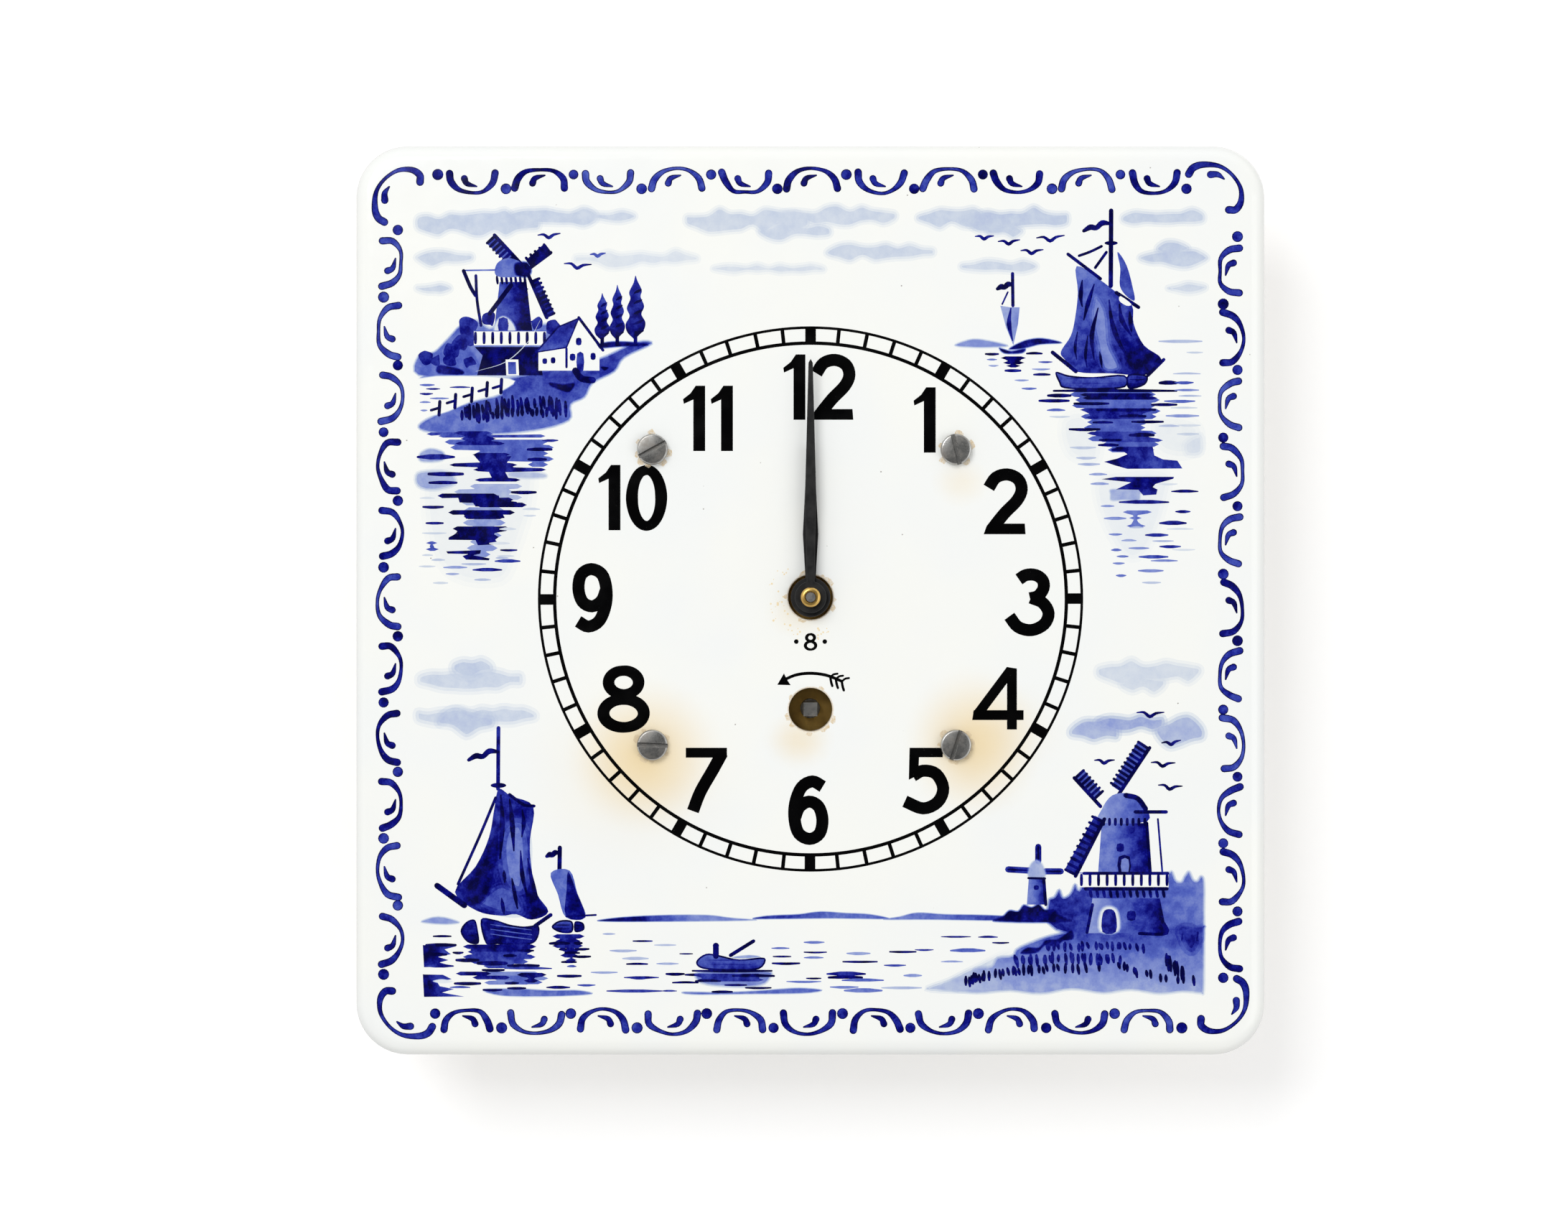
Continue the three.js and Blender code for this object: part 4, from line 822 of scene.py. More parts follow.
tell("the water at top right")

# %% [markdown]
# ## Bottom left: a barge under full sail and its consort
# Two barges sail before a low shore that runs under the dial to the other corner. The big sail could be
# one flat tone, but on the plate the wash dried lighter in the middle and left darker seams. Two pale
# washes and a dark one over the graded outline give that, and a few folds say how the cloth hangs.

# %% Sky and the great sail
clouds([
    (-86, -20.8, 26, 5.4, 0.2), (-85.4, -17.6, 10, 5.4, 0.24), (-84.4, -30, 30, 5, 0.2),
    (-87, -31.4, 14, 6.4, 0.25),
], 1.6)
wash([(-98.4, -82), (-94, -80.6), (-88.6, -82), (-92, -82.6)], 0.45, 0.4)

jib_and_main = [
    (-78.7, -48.4), (-75.6, -50.2), (-70, -52.8), (-70.8, -61), (-70.6, -67), (-69.2, -74.6),
    (-66.2, -79.4), (-70.4, -81.4), (-74.4, -80), (-78, -80.4), (-84.2, -79.2), (-89.8, -74.4),
    (-84.6, -68), (-81.2, -60.6), (-79.8, -53),
]
patch(jib_and_main, ramp((-80, -52), (-74, -80), 0.82, 0.9))
wash([
    (-76.8, -58.5), (-73.4, -57), (-71.6, -61), (-71.6, -68), (-73, -74), (-76.6, -72), (-78, -64),
], 0.5, 2.4, 0.75)
wash([
    (-84, -77.4), (-78, -79.8), (-72.6, -79.6), (-74, -75), (-78, -72.6), (-82, -75),
], 0.62, 1.6, 0.65)
wash([(-88.6, -74), (-84, -69), (-80.6, -61), (-78.4, -58), (-79.6, -70), (-83.6, -77.6)], 0.96, 0.8)
folds([[(-78.2, -50), (-77.8, -57), (-78.4, -66)], [(-76, -51), (-75.4, -56), (-74.9, -64)]], 1.5)
folds([[(-72.8, -53.6), (-72.4, -57), (-72.9, -60.5)]], 1.2)
folds([[(-73.2, -64), (-72.8, -70), (-71.4, -76)]], 1.2)
folds([
    [(-77.4, -69), (-77.2, -72)], [(-75.4, -71), (-74, -78.6)], [(-78, -76), (-77.4, -80)],
    [(-71.4, -66), (-70, -73), (-68, -79)],
], 1.3)
wash([(-72, -76), (-70.6, -75), (-66.8, -79.2), (-70.4, -80.8)], 0.97, 0.4)
tell("the great sail")

# %% Mast, hull and consort
line([(-78.8, -33), (-78.9, -48.4)], 1, 0.88)
pennant(-78.9, -39.6, 7.4)
patch(circle(0, 0, 1, 8) * (2, 0.65) + (-78.8, -47.5), 0.96, 2)
line([(-79.5, -50.6), (-83.6, -60.4), (-89, -72.4)], 0.75, 0.95)
line([(-94.3, -72.8), (-87.4, -77.8)], 1.5, 0.99)
line([(-76, -49.8), (-72.4, -52.4), (-69.8, -52.7)], 0.8, 0.97)
planked([
    (-88.4, -84.4), (-87, -82), (-84.8, -81.4), (-84, -84), (-83.8, -87.4), (-86.6, -87.1),
], 0.86, 0.97)
planked([
    (-83.3, -81.4), (-79.8, -81.4), (-76, -82.6), (-72.4, -83.1), (-68.6, -83), (-69.3, -86.8),
    (-73, -88), (-79, -87.6), (-82, -87.4),
], 0.84, 0.95)
for y in (-83.4, -84.6, -85.8):
    dab([(-80.8, y + 0.8), (-75, y), (-70.4, y - 0.6)], 0.3, 0.6)
line([(-69.6, -83), (-65.6, -80.2)], 1, 0.97)

line([(-63.3, -63.2), (-63.4, -69.2)], 1.1, 0.96)
pennant(-63.6, -64.8, 3)
patch([
    (-65.6, -69.6), (-60.8, -69), (-58.8, -75), (-56.8, -80.8), (-61.8, -80.8), (-63.8, -75),
], 0.6)
patch([(-61.2, -69.2), (-59.2, -74), (-56.8, -80.8), (-61.8, -80.6), (-61.6, -74)], 0.9, 3)
line([(-61.6, -80.6), (-54.2, -80.2)], 0.5, 0.95)
planked([(-65.4, -83.2), (-63.4, -81.6), (-60.2, -81.8), (-60.2, -84.6), (-63.4, -84.6)], 0.6)
planked([(-59.5, -81.9), (-57.4, -82.2), (-57.2, -84), (-59.5, -84.5)], 0.85)
tell("the consort")

# %% The far shore and the water
wash([
    (-53.9, -81.6), (-47, -80.7), (-36, -80.2), (-26, -80.2), (-20, -80.9), (-13.4, -81.5), (-24, -81.8),
    (-40, -81.9), (-50, -81.9),
], ramp((-44, -81), (-30, -81), 0.96, 0.5), 0.25)
wash([
    (-14.6, -81.2), (-11, -80.4), (-3, -80), (2.6, -79.3), (9, -79.7), (15, -80), (19.6, -81.2),
    (6, -81.1), (-6, -81.2),
], ramp((-14, -81), (4, -80), 0.86, 0.62), 0.25)
wash([
    (18.4, -81.4), (22.4, -80.6), (27, -79.6), (34, -80), (44, -80.2), (50, -80.6), (48, -81.6),
    (30, -81.4),
], ramp((18, -81), (46, -80), 0.5, 0.75), 0.25)

mirrored([
    (-88.2, -87.8, -69.2), (-89.5, -86.6, -70.4), (-90.8, -87.8, -69.4), (-92, -86, -71.2),
    (-93.1, -82.6, -73.8),
], ramp((-80, -88), (-80, -93), 0.86, 0.68), 0.55)
mirrored([(-95, -84, -68.4), (-96.2, -80.4, -66.2), (-97.3, -82.4, -70.4)], 0.5, 0.5)
mirrored([
    (-85.6, -65.2, -57), (-86.8, -64.4, -58), (-88, -65.2, -57.4), (-89.2, -62.8, -58.4),
    (-90.4, -63.2, -58.8), (-91.6, -61.8, -59),
], 0.84, 0.55)
mirrored([(-88.2, -87.4, -69.2), (-89, -86, -70.4)], 0.9, 0.5)
mirrored([(-96, -80.4, -70.6), (-97.2, -76, -67.6)], 0.62, 0.5)
mirrored([(-95, -89.6, -80.6), (-96, -85.4, -75.8)], 0.9, 0.5)
mirrored([(-95.3, -74.2, -66.6), (-96.8, -72.4, -68.6)], 0.95, 0.5)
margin_tone = ramp((-96, -90), (-90, -90), 0.95, 0.66)
lay([
    (-97.9, -87.8), (-89.4, -88.1), (-92.4, -88.9), (-90.8, -90.1), (-94, -90.8), (-91.4, -91.6),
    (-93.6, -92.2), (-90.2, -93.2), (-97.6, -93.4),
], margin_tone)
lay([
    (-97.9, -95.2), (-92.8, -95.3), (-90.6, -96.4), (-94.2, -97.2), (-93.6, -98.2), (-90, -98.9),
    (-93, -99.8), (-87.4, -100.8), (-97.6, -100.9),
], margin_tone)
wash([(-95.4, -96.9), (-93, -96.4), (-90.2, -97), (-93, -97.5)], 0.1, 0.2, 1)
streaks([
    (-97, -89.6, -87.8, 0.9, 0.97), (-97.2, -92, -90.2, 0.9, 0.97), (-97, -90.2, -93.1, 0.9, 0.84),
    (-95.2, -90.8, -85.6, 0.6, 0.94), (-90.2, -87.8, -89.7, 0.7, 1), (-89.4, -83.9, -91.6, 1, 1),
    (-84, -76.8, -92.4, 1.2, 0.93), (-77.4, -74.4, -90.5, 0.8, 1), (-73.8, -70, -89.2, 0.7, 1),
    (-76.4, -68.6, -93, 0.9, 1), (-77.2, -65.4, -93.7, 0.7, 0.75), (-82.8, -77.4, -94.1, 0.8, 1),
    (-77, -73.8, -97.4, 0.7, 0.95), (-89.8, -83.4, -97.5, 0.9, 1), (-91, -86, -98.5, 0.6, 0.65),
    (-63.8, -58, -95.6, 0.8, 0.92),
])
wash([
    (-82.8, -99), (-74, -98.8), (-66, -99.2), (-58.6, -99.2), (-55.2, -100.2), (-66, -100.8),
    (-78, -100.6),
], 0.6, 0.3)
streaks([
    (-82.6, -78, -99.1, 0.7, 0.95), (-76.4, -72, -98.7, 0.7, 1), (-66.6, -60.8, -98.5, 0.8, 0.88),
    (-58.8, -54.4, -97.9, 0.6, 0.7), (-65.8, -61, -87.4, 0.9, 1), (-59.5, -57.8, -87.3, 0.9, 1),
    (-63.3, -61.8, -88.9, 0.8, 1), (-59.3, -56, -88.8, 0.7, 1), (-62, -58.4, -89.8, 0.7, 1),
    (-59.9, -55.6, -90.7, 0.7, 1), (-62.8, -59.2, -92.1, 0.7, 1), (-61.4, -59.2, -93.2, 0.6, 0.7),
    (-55.4, -48.8, -94.7, 0.6, 0.4), (-50.6, -44, -89.2, 0.7, 0.35), (-47.4, -41, -91.2, 0.8, 0.3),
    (-52.4, -49.4, -85, 0.5, 0.35), (-44.8, -40, -86.8, 0.5, 0.9), (-46.4, -41.2, -92.6, 0.6, 0.97),
    (-47, -38.4, -96, 0.7, 0.85), (-51.4, -37.6, -99.4, 0.8, 0.78), (-39.4, -34, -87.8, 0.5, 0.3),
    (-38.8, -33.4, -92.5, 0.6, 0.35), (-33, -29.8, -90, 0.4, 0.9), (-45.4, -41, -96.2, 0.5, 0.85),
])
tell("the water at bottom left")

# %% [markdown]
# ## Bottom right: a mill with a balcony, another far off, and a rowing boat
# This mill stands on a stone base in a wood, with a meadow in front. Both run off the edge of the
# stencil, so they end in a straight line on the right. The grass could be a texture. A few dozen short
# dabs along a curve cost little and keep the rhythm of a brush that is set down and lifted.

# %% Sky, wood and meadow
clouds([
    (85.4, -18.8, 26, 6, 0.18), (84, -22, 11, 4.6, 0.18), (71.6, -34.2, 12, 5.6, 0.34),
    (80.6, -31.6, 17, 4.6, 0.38), (93.2, -34.2, 12, 7, 0.32),
], 1.5)
for x, y, span in [
    (85.8, -29.6, 6.8), (91.1, -36.8, 4.8), (74.2, -41.5, 5), (89, -42.2, 6), (90.8, -48, 6),
]:
    bird(x, y, span, 0.95)

woods = [
    (60, -77), (61.6, -75.6), (62.8, -73.8), (63.8, -75.8), (65.6, -74.8), (66.8, -72.4), (67.8, -74),
    (69.2, -71.2), (72, -70), (89, -69.6), (91.2, -69.2), (92.2, -71.4), (93.6, -71.8), (94.6, -70.2),
    (95.6, -69.2), (96.6, -71.2), (97.6, -71.6), (98.6, -70.4), (99.4, -72), (99.4, -80), (99.3, -86),
    (97, -87.4), (84, -88), (62, -84),
]
wash(woods, ramp((64, -74), (99, -78), 0.86, 0.58), 0.7)
meadow = [
    (98, -83), (99.2, -84), (99.4, -90), (99.3, -99.4), (98.4, -100), (94, -99.6), (88, -100.2),
    (81, -99.2), (74, -100), (66, -99), (58, -100.2), (50, -99.4), (42, -100), (33, -98.8), (36.2, -96.4),
    (39.8, -96), (41.6, -93.6), (45.6, -93.2), (47.2, -91), (51, -90.4), (53, -88.2), (64, -84.6),
    (80, -84),
]
wash(meadow, ramp((70, -84), (70, -99), 0.74, 0.4), 0.7)
wash([
    (46, -81.6), (48.4, -80.6), (50.2, -79), (52.4, -79.2), (53.8, -77.6), (55.8, -78.2), (57.6, -77.4),
    (59.2, -78.8), (61.4, -78.8), (63, -80.4), (66, -81.8), (58, -82.2), (48, -82),
], 1, 0.4)
tell("the wood")

# %% The mill with the balcony
sail((76.2, -52.2), (85.6, -38), 3.4, 11, 0.7)
sail((73.2, -52.8), (66.6, -45.6), -3.2, 7, 0.68)
tower(79.2, -69.6, -57, 13.2, 11.4, 0.55, 0.9)
dome = [(73.2, -56.8), (73.6, -53.4), (76.2, -50), (80.4, -49.6), (84, -52), (85, -56.6)]
patch(dome, ramp((74, -53), (85, -52), 0.42, 0.76))
line([(79.6, -50), (82.6, -50.8), (84.6, -53.4)], 1.3, 0.97)
line([(82, -54.2), (89.8, -54.2)], 0.9, 0.98)
line([(87.7, -56), (88.8, -69.2)], 0.5, 0.88)
for x in np.linspace(74, 84.4, 8):
    dab([(x, -56), (x, -57.4)], 0.85, 0.97, taper=0.8)
sail((74.2, -56), (66.9, -70.4), -3.2, 10, 0.85, 0.02)
opening(78.2, -63.2, 1.6, 1.8)
opening(79.2, -67.6, 2.8, 4.2, 0.97)
opening(79.4, -67.8, 1.7, 3.2, 0.5)
gallery(79.2, -73.2, 22.4, 3.6, 11)
line([(69.4, -73.6), (90, -73.6)], 0.9, 1)
line([(69, -69.7), (90.2, -69.7)], 0.8, 0.97)
for x in np.linspace(70.6, 89, 12):
    dab([(x, -74), (x + 0.3, -75.6)], 0.95, 0.97, taper=0.7)
lay([(71.2, -76), (88.2, -76), (90, -84.8), (69.8, -84.8)], ramp((71, -80), (90, -80), 0.42, 0.95))
line([(71.2, -77.6), (69.8, -84.6)], 0.8, 0.96)
line([(88.4, -81), (90, -84.8), (83, -84.9)], 0.8, 0.97)
wash([(73, -84.4), (73.1, -79.4), (75.4, -77.9), (77.7, -79.4), (77.8, -84.4)], 0.12, 0.5, 1)
patch([(73.7, -84.5), (73.8, -79.8), (75.4, -78.7), (77, -79.8), (77.1, -84.5)], 0.85, 3)
opening(81, -80.4, 1.9, 2.1)
tell("the second mill")

# %% The far mill, the grass and the bank
fading = ramp((37, -95), (52, -94), 0.8, 0)
wash([(29, -99), (35, -96.4), (41, -93.4), (54, -88), (56, -98), (40, -99.6)], 0.3, 1, fading)
for vane in ([(55.2, -69), (49.9, -68.7)], [(59.3, -69.2), (63.2, -69.2)], [(57.5, -66.6), (57.5, -63)]):
    line(vane, 1.6, 0.84)
    line(vane, 0.5, 1)
tower(57, -77.6, -71, 4.8, 3.8, 0.5, 0.85)
wash([(55, -70.6), (55.4, -67.6), (57.2, -66.2), (58.8, -67.8), (59.2, -70.6)], 0.35, 0.4)
line([(55, -70.9), (59.2, -71)], 0.6, 0.97)
opening(57, -73.3, 1.1, 1)

wash([
    (53, -90), (54.8, -88.4), (57.6, -88.4), (59.4, -86.6), (62.6, -86.2), (65.8, -84.2), (66.4, -86.2),
    (63.8, -86.8), (62, -88.2), (59.2, -88), (57, -89.8),
], 0.97, 0.3)
tufts([(52, -91.8), (66, -91.2), (78, -91.4)], 28, 2.4, 0.88)
tufts([(39.4, -97), (44, -95.6), (52, -94.4), (60, -93.8), (73, -93.6)], 30, 2.2, 1)
tufts([(60, -88.4), (72, -88), (84, -88.6)], 22, 1.8, 0.9)
tufts([(78, -93), (86, -95.4), (97, -97)], 12, 2, 1)
tufts([(89.6, -91.6), (94, -95)], 9, 3.2, 0.97)
for x in (93.8, 95.6, 97.6):
    line([(x, -86.6), (x + 0.2, -84.6)], 0.5, 0.9)
wash([(93, -83.8), (96, -83.2), (97.6, -84.8), (98, -87.4), (96.4, -89.6), (94.4, -88.2)], 0.86, 2)
tell("the grass")

# %% Open water and the rowing boat
streaks([
    (33, 40.4, -85.7, 0.5, 0.85), (42.4, 47.2, -85.8, 0.6, 0.8), (35.4, 44, -89.2, 1, 0.62),
    (46, 50, -87.2, 0.5, 0.9), (33, 38.4, -92, 0.5, 0.4), (20, 26.6, -89.5, 0.6, 0.95),
    (26.4, 31, -89, 0.5, 0.8), (18.6, 24, -92.9, 0.6, 0.75), (23.6, 28, -95.5, 0.8, 0.45),
    (8.2, 16.8, -92, 0.6, 0.95), (9.2, 15, -89.9, 0.8, 0.4), (-1.6, 4, -89.6, 0.5, 0.95),
    (-1.6, 3.4, -87.1, 0.7, 0.55), (-1.6, 3.2, -91, 0.6, 0.55), (-9.6, -2.8, -92.4, 0.7, 0.97),
    (-9.4, -5, -90.7, 0.5, 0.95), (-9.8, -5.4, -88.6, 0.5, 0.6), (-6, 2.6, -97, 0.6, 0.5),
    (-1, 2.6, -96.2, 0.5, 0.95), (4.2, 13.8, -95.1, 1.1, 0.84), (4.6, 13, -96, 0.9, 0.95),
    (8, 18.4, -96.7, 0.8, 0.6), (5, 12, -98.4, 0.7, 0.5), (8.6, 18, -99.3, 1.1, 0.55),
    (18, 28, -98.6, 0.7, 0.3), (-36.4, -32, -95.1, 0.8, 1), (-31.6, -26.4, -95.3, 0.7, 1),
    (-34.8, -28.4, -97.3, 0.6, 1),
])
wash([
    (-32, -99.6), (-22, -99.7), (-12, -99.2), (-3, -98.6), (3, -99.2), (-2, -100), (-16, -100.2),
    (-30, -100.3),
], 0.6, 0.3)
planked([
    (-28.9, -92), (-26.4, -90), (-22.8, -90.4), (-18, -91.4), (-11.6, -91), (-13, -93.9), (-20, -94.3),
    (-27.2, -93.8),
], 0.6, 0.82)
wash([(-20, -90.9), (-15.6, -90.3), (-12.6, -90.8), (-17, -91.2)], 0.4, 0.2)
line([(-20.2, -90.4), (-14.4, -86.8)], 0.95, 1)
lay(circle(-23.9, -88, 0.8), 1)
line([(-23.9, -88.4), (-23.9, -90.6)], 1.5, 1)
wash([
    (-28.6, -94.6), (-20, -94.4), (-10.6, -94.4), (-10.2, -96), (-12.6, -98), (-20, -98.4),
    (-27.6, -97.4),
], 0.5, 0.6)
mirrored([(-95.4, -29.6, -12), (-96.6, -28.6, -11.8)], 0.8, 0.4)
streaks([
    (-29.8, -9.8, -94.3, 0.7, 1), (-19.6, -9.2, -95.6, 0.8, 1), (-29, -22.8, -96.9, 0.7, 1),
    (-21.6, -16.2, -97.9, 0.6, 0.95), (-16.4, -10, -98.6, 0.6, 0.97), (-24.8, -19.8, -99.6, 0.7, 1),
    (-37.6, -33.8, -99.4, 0.5, 0.8),
])
tell("the rowing boat")

# %% [markdown]
# ## Minute ring and numerals
# These are printed in black over the blue, crisp and even. Blender's text object could give the
# numerals, but its fonts are not this one: upright, of one stroke width, with open round bowls. So each
# digit is one to three outlines, most of them pen strokes with square ends. An outline can't hold a
# hole, so a ring is laid as twelve sectors, and a closed bowl as a stroke whose ends overlap.

# %% The ring and its sixty marks
DIAL_CENTRE_Y = -0.45
RING_OUTER = 68.5
RING_INNER = 64.6
OUTER_LINE = 0.68
INNER_LINE = 0.88
HOUR_BLOCK = 2.7
MINUTE_TICK = 0.96
SECTORS = 12
SECTOR_STEPS = 15


def ring(radius, width):
    """A thin circle as sectors: unit vectors times the outer radius, and back times the inner one."""
    for k in range(SECTORS):
        angle = np.linspace(k, k + 1, SECTOR_STEPS + 1) / SECTORS * 2 * math.pi
        unit = np.column_stack([np.cos(angle), np.sin(angle)])
        sector = np.vstack([unit * (radius + width / 2), unit[::-1] * (radius - width / 2)])
        lay(sector + (0, DIAL_CENTRE_Y), 1, BLACK)


ring(RING_OUTER, OUTER_LINE)
ring(RING_INNER, INNER_LINE)
for minute in range(60):
    half = (MINUTE_TICK if minute % 5 else HOUR_BLOCK) / 2
    mark = oblong(-half, half, RING_INNER, RING_OUTER)
    turn = -6 * minute + hand.uniform(-0.2, 0.2)
    lay(placed(mark, 0, DIAL_CENTRE_Y, turn=turn), 1, BLACK)
tell("the ring")


# %% Pen strokes and digits
NUMERAL_STROKE = 3.1


def arc(x, y, rx, ry, start, end, count):
    """Points of an ellipse: x + rx cos(a), y + ry sin(a), with a from `start` to `end` in degrees."""
    angle = np.radians(np.linspace(start, end, count))
    return [(x + rx * math.cos(a), y + ry * math.sin(a)) for a in angle]


def pen(path, width=NUMERAL_STROKE):
    """A numeral's stroke, even in width and square at its ends."""
    return stroke(path, [width, width], steps=4, cap=0)


def oval(x, y, rx, ry, thick=NUMERAL_STROKE, thin=2.5):
    """A closed loop, thick at its sides. Its ends overlap at the top, so that no gap shows there."""
    return stroke(arc(x, y, rx, ry, 90, 462, 15), [thin, thick, thin, thick, thin], steps=4, cap=0)


def digit_outlines(digit):
    """The outlines of a digit 16.6 mm tall, about its own middle."""
    if digit == 0:
        return [oval(0, 0, 3.7, 7.1)]
    if digit == 1:
        flag = [(0.4, 8.3), (-0.9, 6.4), (-2.8, 4.9), (-2.6, 3.7), (-0.2, 4.8)]
        return [[(-0.2, -8.2), (2.8, -8.2), (2.8, 8.3), *flag]]
    if digit == 2:
        neck = [
            (-4.2, 3.5), (-2.4, 6.1), (0.5, 6.9), (3.2, 5.7), (4.1, 3.1), (2.9, 0.3), (-0.3, -3),
            (-3.4, -6.9),
        ]
        return [pen(neck), [(-5.5, -8.2), (5.1, -8.2), (4.9, -5.5), (-3, -5.5), (-4.7, -6)]]
    if digit == 3:
        upper = [(-2.6, 5.7), (-0.8, 6.8), (1.6, 6.8), (3.4, 5.5), (3.6, 3.4), (2.2, 1.5), (0.2, 0.9)]
        lower = [
            (0.4, 1.1), (3.4, -0.2), (4.9, -2.8), (3.8, -5.6), (0.6, -7.1), (-2.8, -6.3), (-5, -3.6),
        ]
        return [pen(upper), pen(lower)]
    if digit == 4:
        bar = [(-6.5, -5.4), (6.5, -5.4), (6.5, -2.9), (-6.1, -2.9)]
        return [
            [(2.3, -7.8), (4.8, -7.8), (4.8, 7.6), (2.3, 8)], bar,
            pen([(3.3, 7.3), (-5.3, -4.2)], 2.5),
        ]
    if digit == 5:
        bowl = [(-3, 1.2), (-0.4, 2.5), (2.9, 1.7), (4.7, -1.9), (3.3, -5.4), (-0.4, -7), (-5, -5.2)]
        return [
            oblong(-3.8, 4.6, 5.9, 8.3), [(-4, 0.2), (-1.6, 1.4), (-1.3, 8), (-3.8, 8)], pen(bowl),
        ]
    if digit == 6:
        back = [
            (3.7, 5.9), (1.1, 7.2), (-1.7, 5.7), (-3.3, 1.6), (-3.4, -2.6), (-2.3, -6), (0.4, -7.3),
            (2.9, -5.9),
        ]
        return [pen(back + [(3.6, -2.4), (2.6, 0.9), (0.2, 2.1), (-2.2, 0.7), (-3.4, -2.2)])]
    if digit == 7:
        leg = pen([(3.9, 6.6), (1.6, 2.4), (-1.6, -3.2), (-3.5, -8.1)])
        return [oblong(-5.3, 5.1, 5.4, 7.9), leg]
    if digit == 8:
        return [oval(0, 4.2, 3.8, 3, 3, 2.6), oval(0, -3.6, 5.1, 3.55, 3.1, 2.7)]
    return [-np.array(outline) for outline in digit_outlines(6)]


print("a plain eight has", len(digit_outlines(8)), "closed strokes")

# %% The twelve numerals in their places
NUMERALS = {
    1: (28.8, 44.7), 2: (49.2, 24.1), 3: (55.2, -1.2), 4: (47.3, -25.6),
    5: (28.8, -46.3), 6: (-0.6, -53.7), 7: (-26.2, -45.9), 8: (-47.2, -25.7),
    9: (-55, -0.2), 10: (-44.9, 25.1), 11: (-25.9, 45.1), 12: (2.2, 53),
}
PAIRS = {10: (-5.9, 3.5), 11: (-3.5, 3.5), 12: (-6.3, 3.5)}
for hour, (x, y) in NUMERALS.items():
    for digit, shift in zip(str(hour), PAIRS.get(hour, (0,))):
        for outline in digit_outlines(int(digit)):
            lay(np.array(outline) + (x + shift, y), 1, BLACK)
tell("the numerals")

# %% [markdown]
# ## The arrow over the winding hole
# The arrow tells the owner which way the key turns. It could be one long outline; as a shaft, a head
# and three feathers it is drawn as it reads. Over it stands a small plain eight between two dots, for
# the days that the clock runs.

# %% Arrow and eight
shaft = [(-6.6, -20.8), (-3.6, -19.6), (0, -19.2), (4, -19.7), (7.9, -21.2)]
lay(stroke(shaft, [0.75, 0.8, 0.8, 0.75], cap=2), 1, BLACK)
lay([(-8.4, -22.1), (-6.7, -19.2), (-6, -20.7), (-5, -22.2)], 1, BLACK)
for x, y in [(5, -20.2), (6.4, -20.7), (7.9, -21.3)]:
    line([(x, y), (x + 0.8, y + 0.7), (x + 1.8, y + 0.9)], 0.55, 1, BLACK)
    line([(x, y), (x + 0.2, y - 1.2), (x + 0.5, y - 2.2)], 0.65, 1, BLACK)
for radius_x, radius_y, y in [(1, 0.85, -10.2), (1.3, 1, -12.2)]:
    lay(oval(0, y, radius_x, radius_y, 0.85, 0.6), 1, BLACK)
for x in (-3.6, 3.6):
    lay(circle(x, -11.2, 0.6, 10), 1, BLACK)
tell("the arrow")

# %% [markdown]
# ## Wear
# Oil has crept out of the works and stained the glaze. Near the holes the glaze is chipped down to the
# clay, and fine scratches cross the face. A noise texture could put such marks anywhere, but wear has
# its causes: oil comes from the holes, and chips from the screws. So the marks join the list of shapes,
# with inks of their own, at the places where they belong.

# %% Stains and scratches
STAINS = [
    (-45, -45, 66, 56, 0.14), (-42, -40, 42, 42, 0.85), (50, -33, 34, 26, 0.16), (41, -37, 37, 41, 0.8),
    (-3, -36, 19, 16, 0.45), (38, 29, 16, 13, 0.26), (-3, -4, 18, 14, 0.3),
]
SCRATCHES = [
    [(-68.2, 70), (-71.4, 64.4), (-77, 59.4), (-84.5, 57)],
    [(20, 30), (34, 21), (47, 17)],
    [(-30, -12), (-12, -16), (9, -14)],
]


def stain(x, y, wide, tall, amount):
    """A stain that thins out from its middle as (1 - r^2)^2, with r = 1 at its rim."""
    half_size = np.array([wide, tall]) / 2

    def cover(xy):
        r_squared = np.sum(((xy - (x, y)) / half_size) ** 2, axis=-1)
        return np.clip(1 - r_squared, 0, 1) ** 2

    lay(circle(0, 0, 1, 24) * half_size + (x, y), amount, STAIN, cover)


for spot in STAINS:
    stain(*spot)
tell("the stains")

# %% Chips, spots and scratches round the holes
CHIPS_AT_A_HOLE = 9
OIL_SPOTS = 46
UNDER_THE_HEAD = 1.2
for x, y, radius, _ in HOLES:
    radius += UNDER_THE_HEAD if radius == SCREW_HOLE else 0
    for _ in range(CHIPS_AT_A_HOLE):
        angle = hand.uniform(0, 2 * math.pi)
        size = hand.uniform(0.5, 1.1)
        chip = circle(0, 0, size, 9) * (1 + hand.uniform(-0.3, 0.3, (9, 1)))
        away = (radius + 0.35) * np.array([math.cos(angle), math.sin(angle)])
        lay(chip + away + (x, y), 1, CLAY)
for _ in range(OIL_SPOTS):
    angle = hand.uniform(2.2, 5.2)
    reach = ARBOR_HOLE + hand.uniform(1.2, 5.5)
    size = hand.uniform(0.12, 0.34)
    lay(circle(reach * math.cos(angle), reach * math.sin(angle), size, 7), 0.9, STAIN)
for path in SCRATCHES:
    lay(stroke(path, [0.06, 0.22, 0.06], steps=6, cap=0), 0, COBALT, 0.8)
tell("the wear")

# %% [markdown]
# ## The plate
# The plate was pressed in a mould: a flat front, an edge that rolls over, a foot rim behind and a
# pocket for the works. It could be a cube with bevels and Boolean holes, but then the painting would
# have no edges to follow. Here the flat front is one triangulation that has every painted outline among
# its edges, with a lattice of extra points so that washes fade evenly. The rest is a profile of insets
# and depths, carried round the plate as rings of a rounded square.


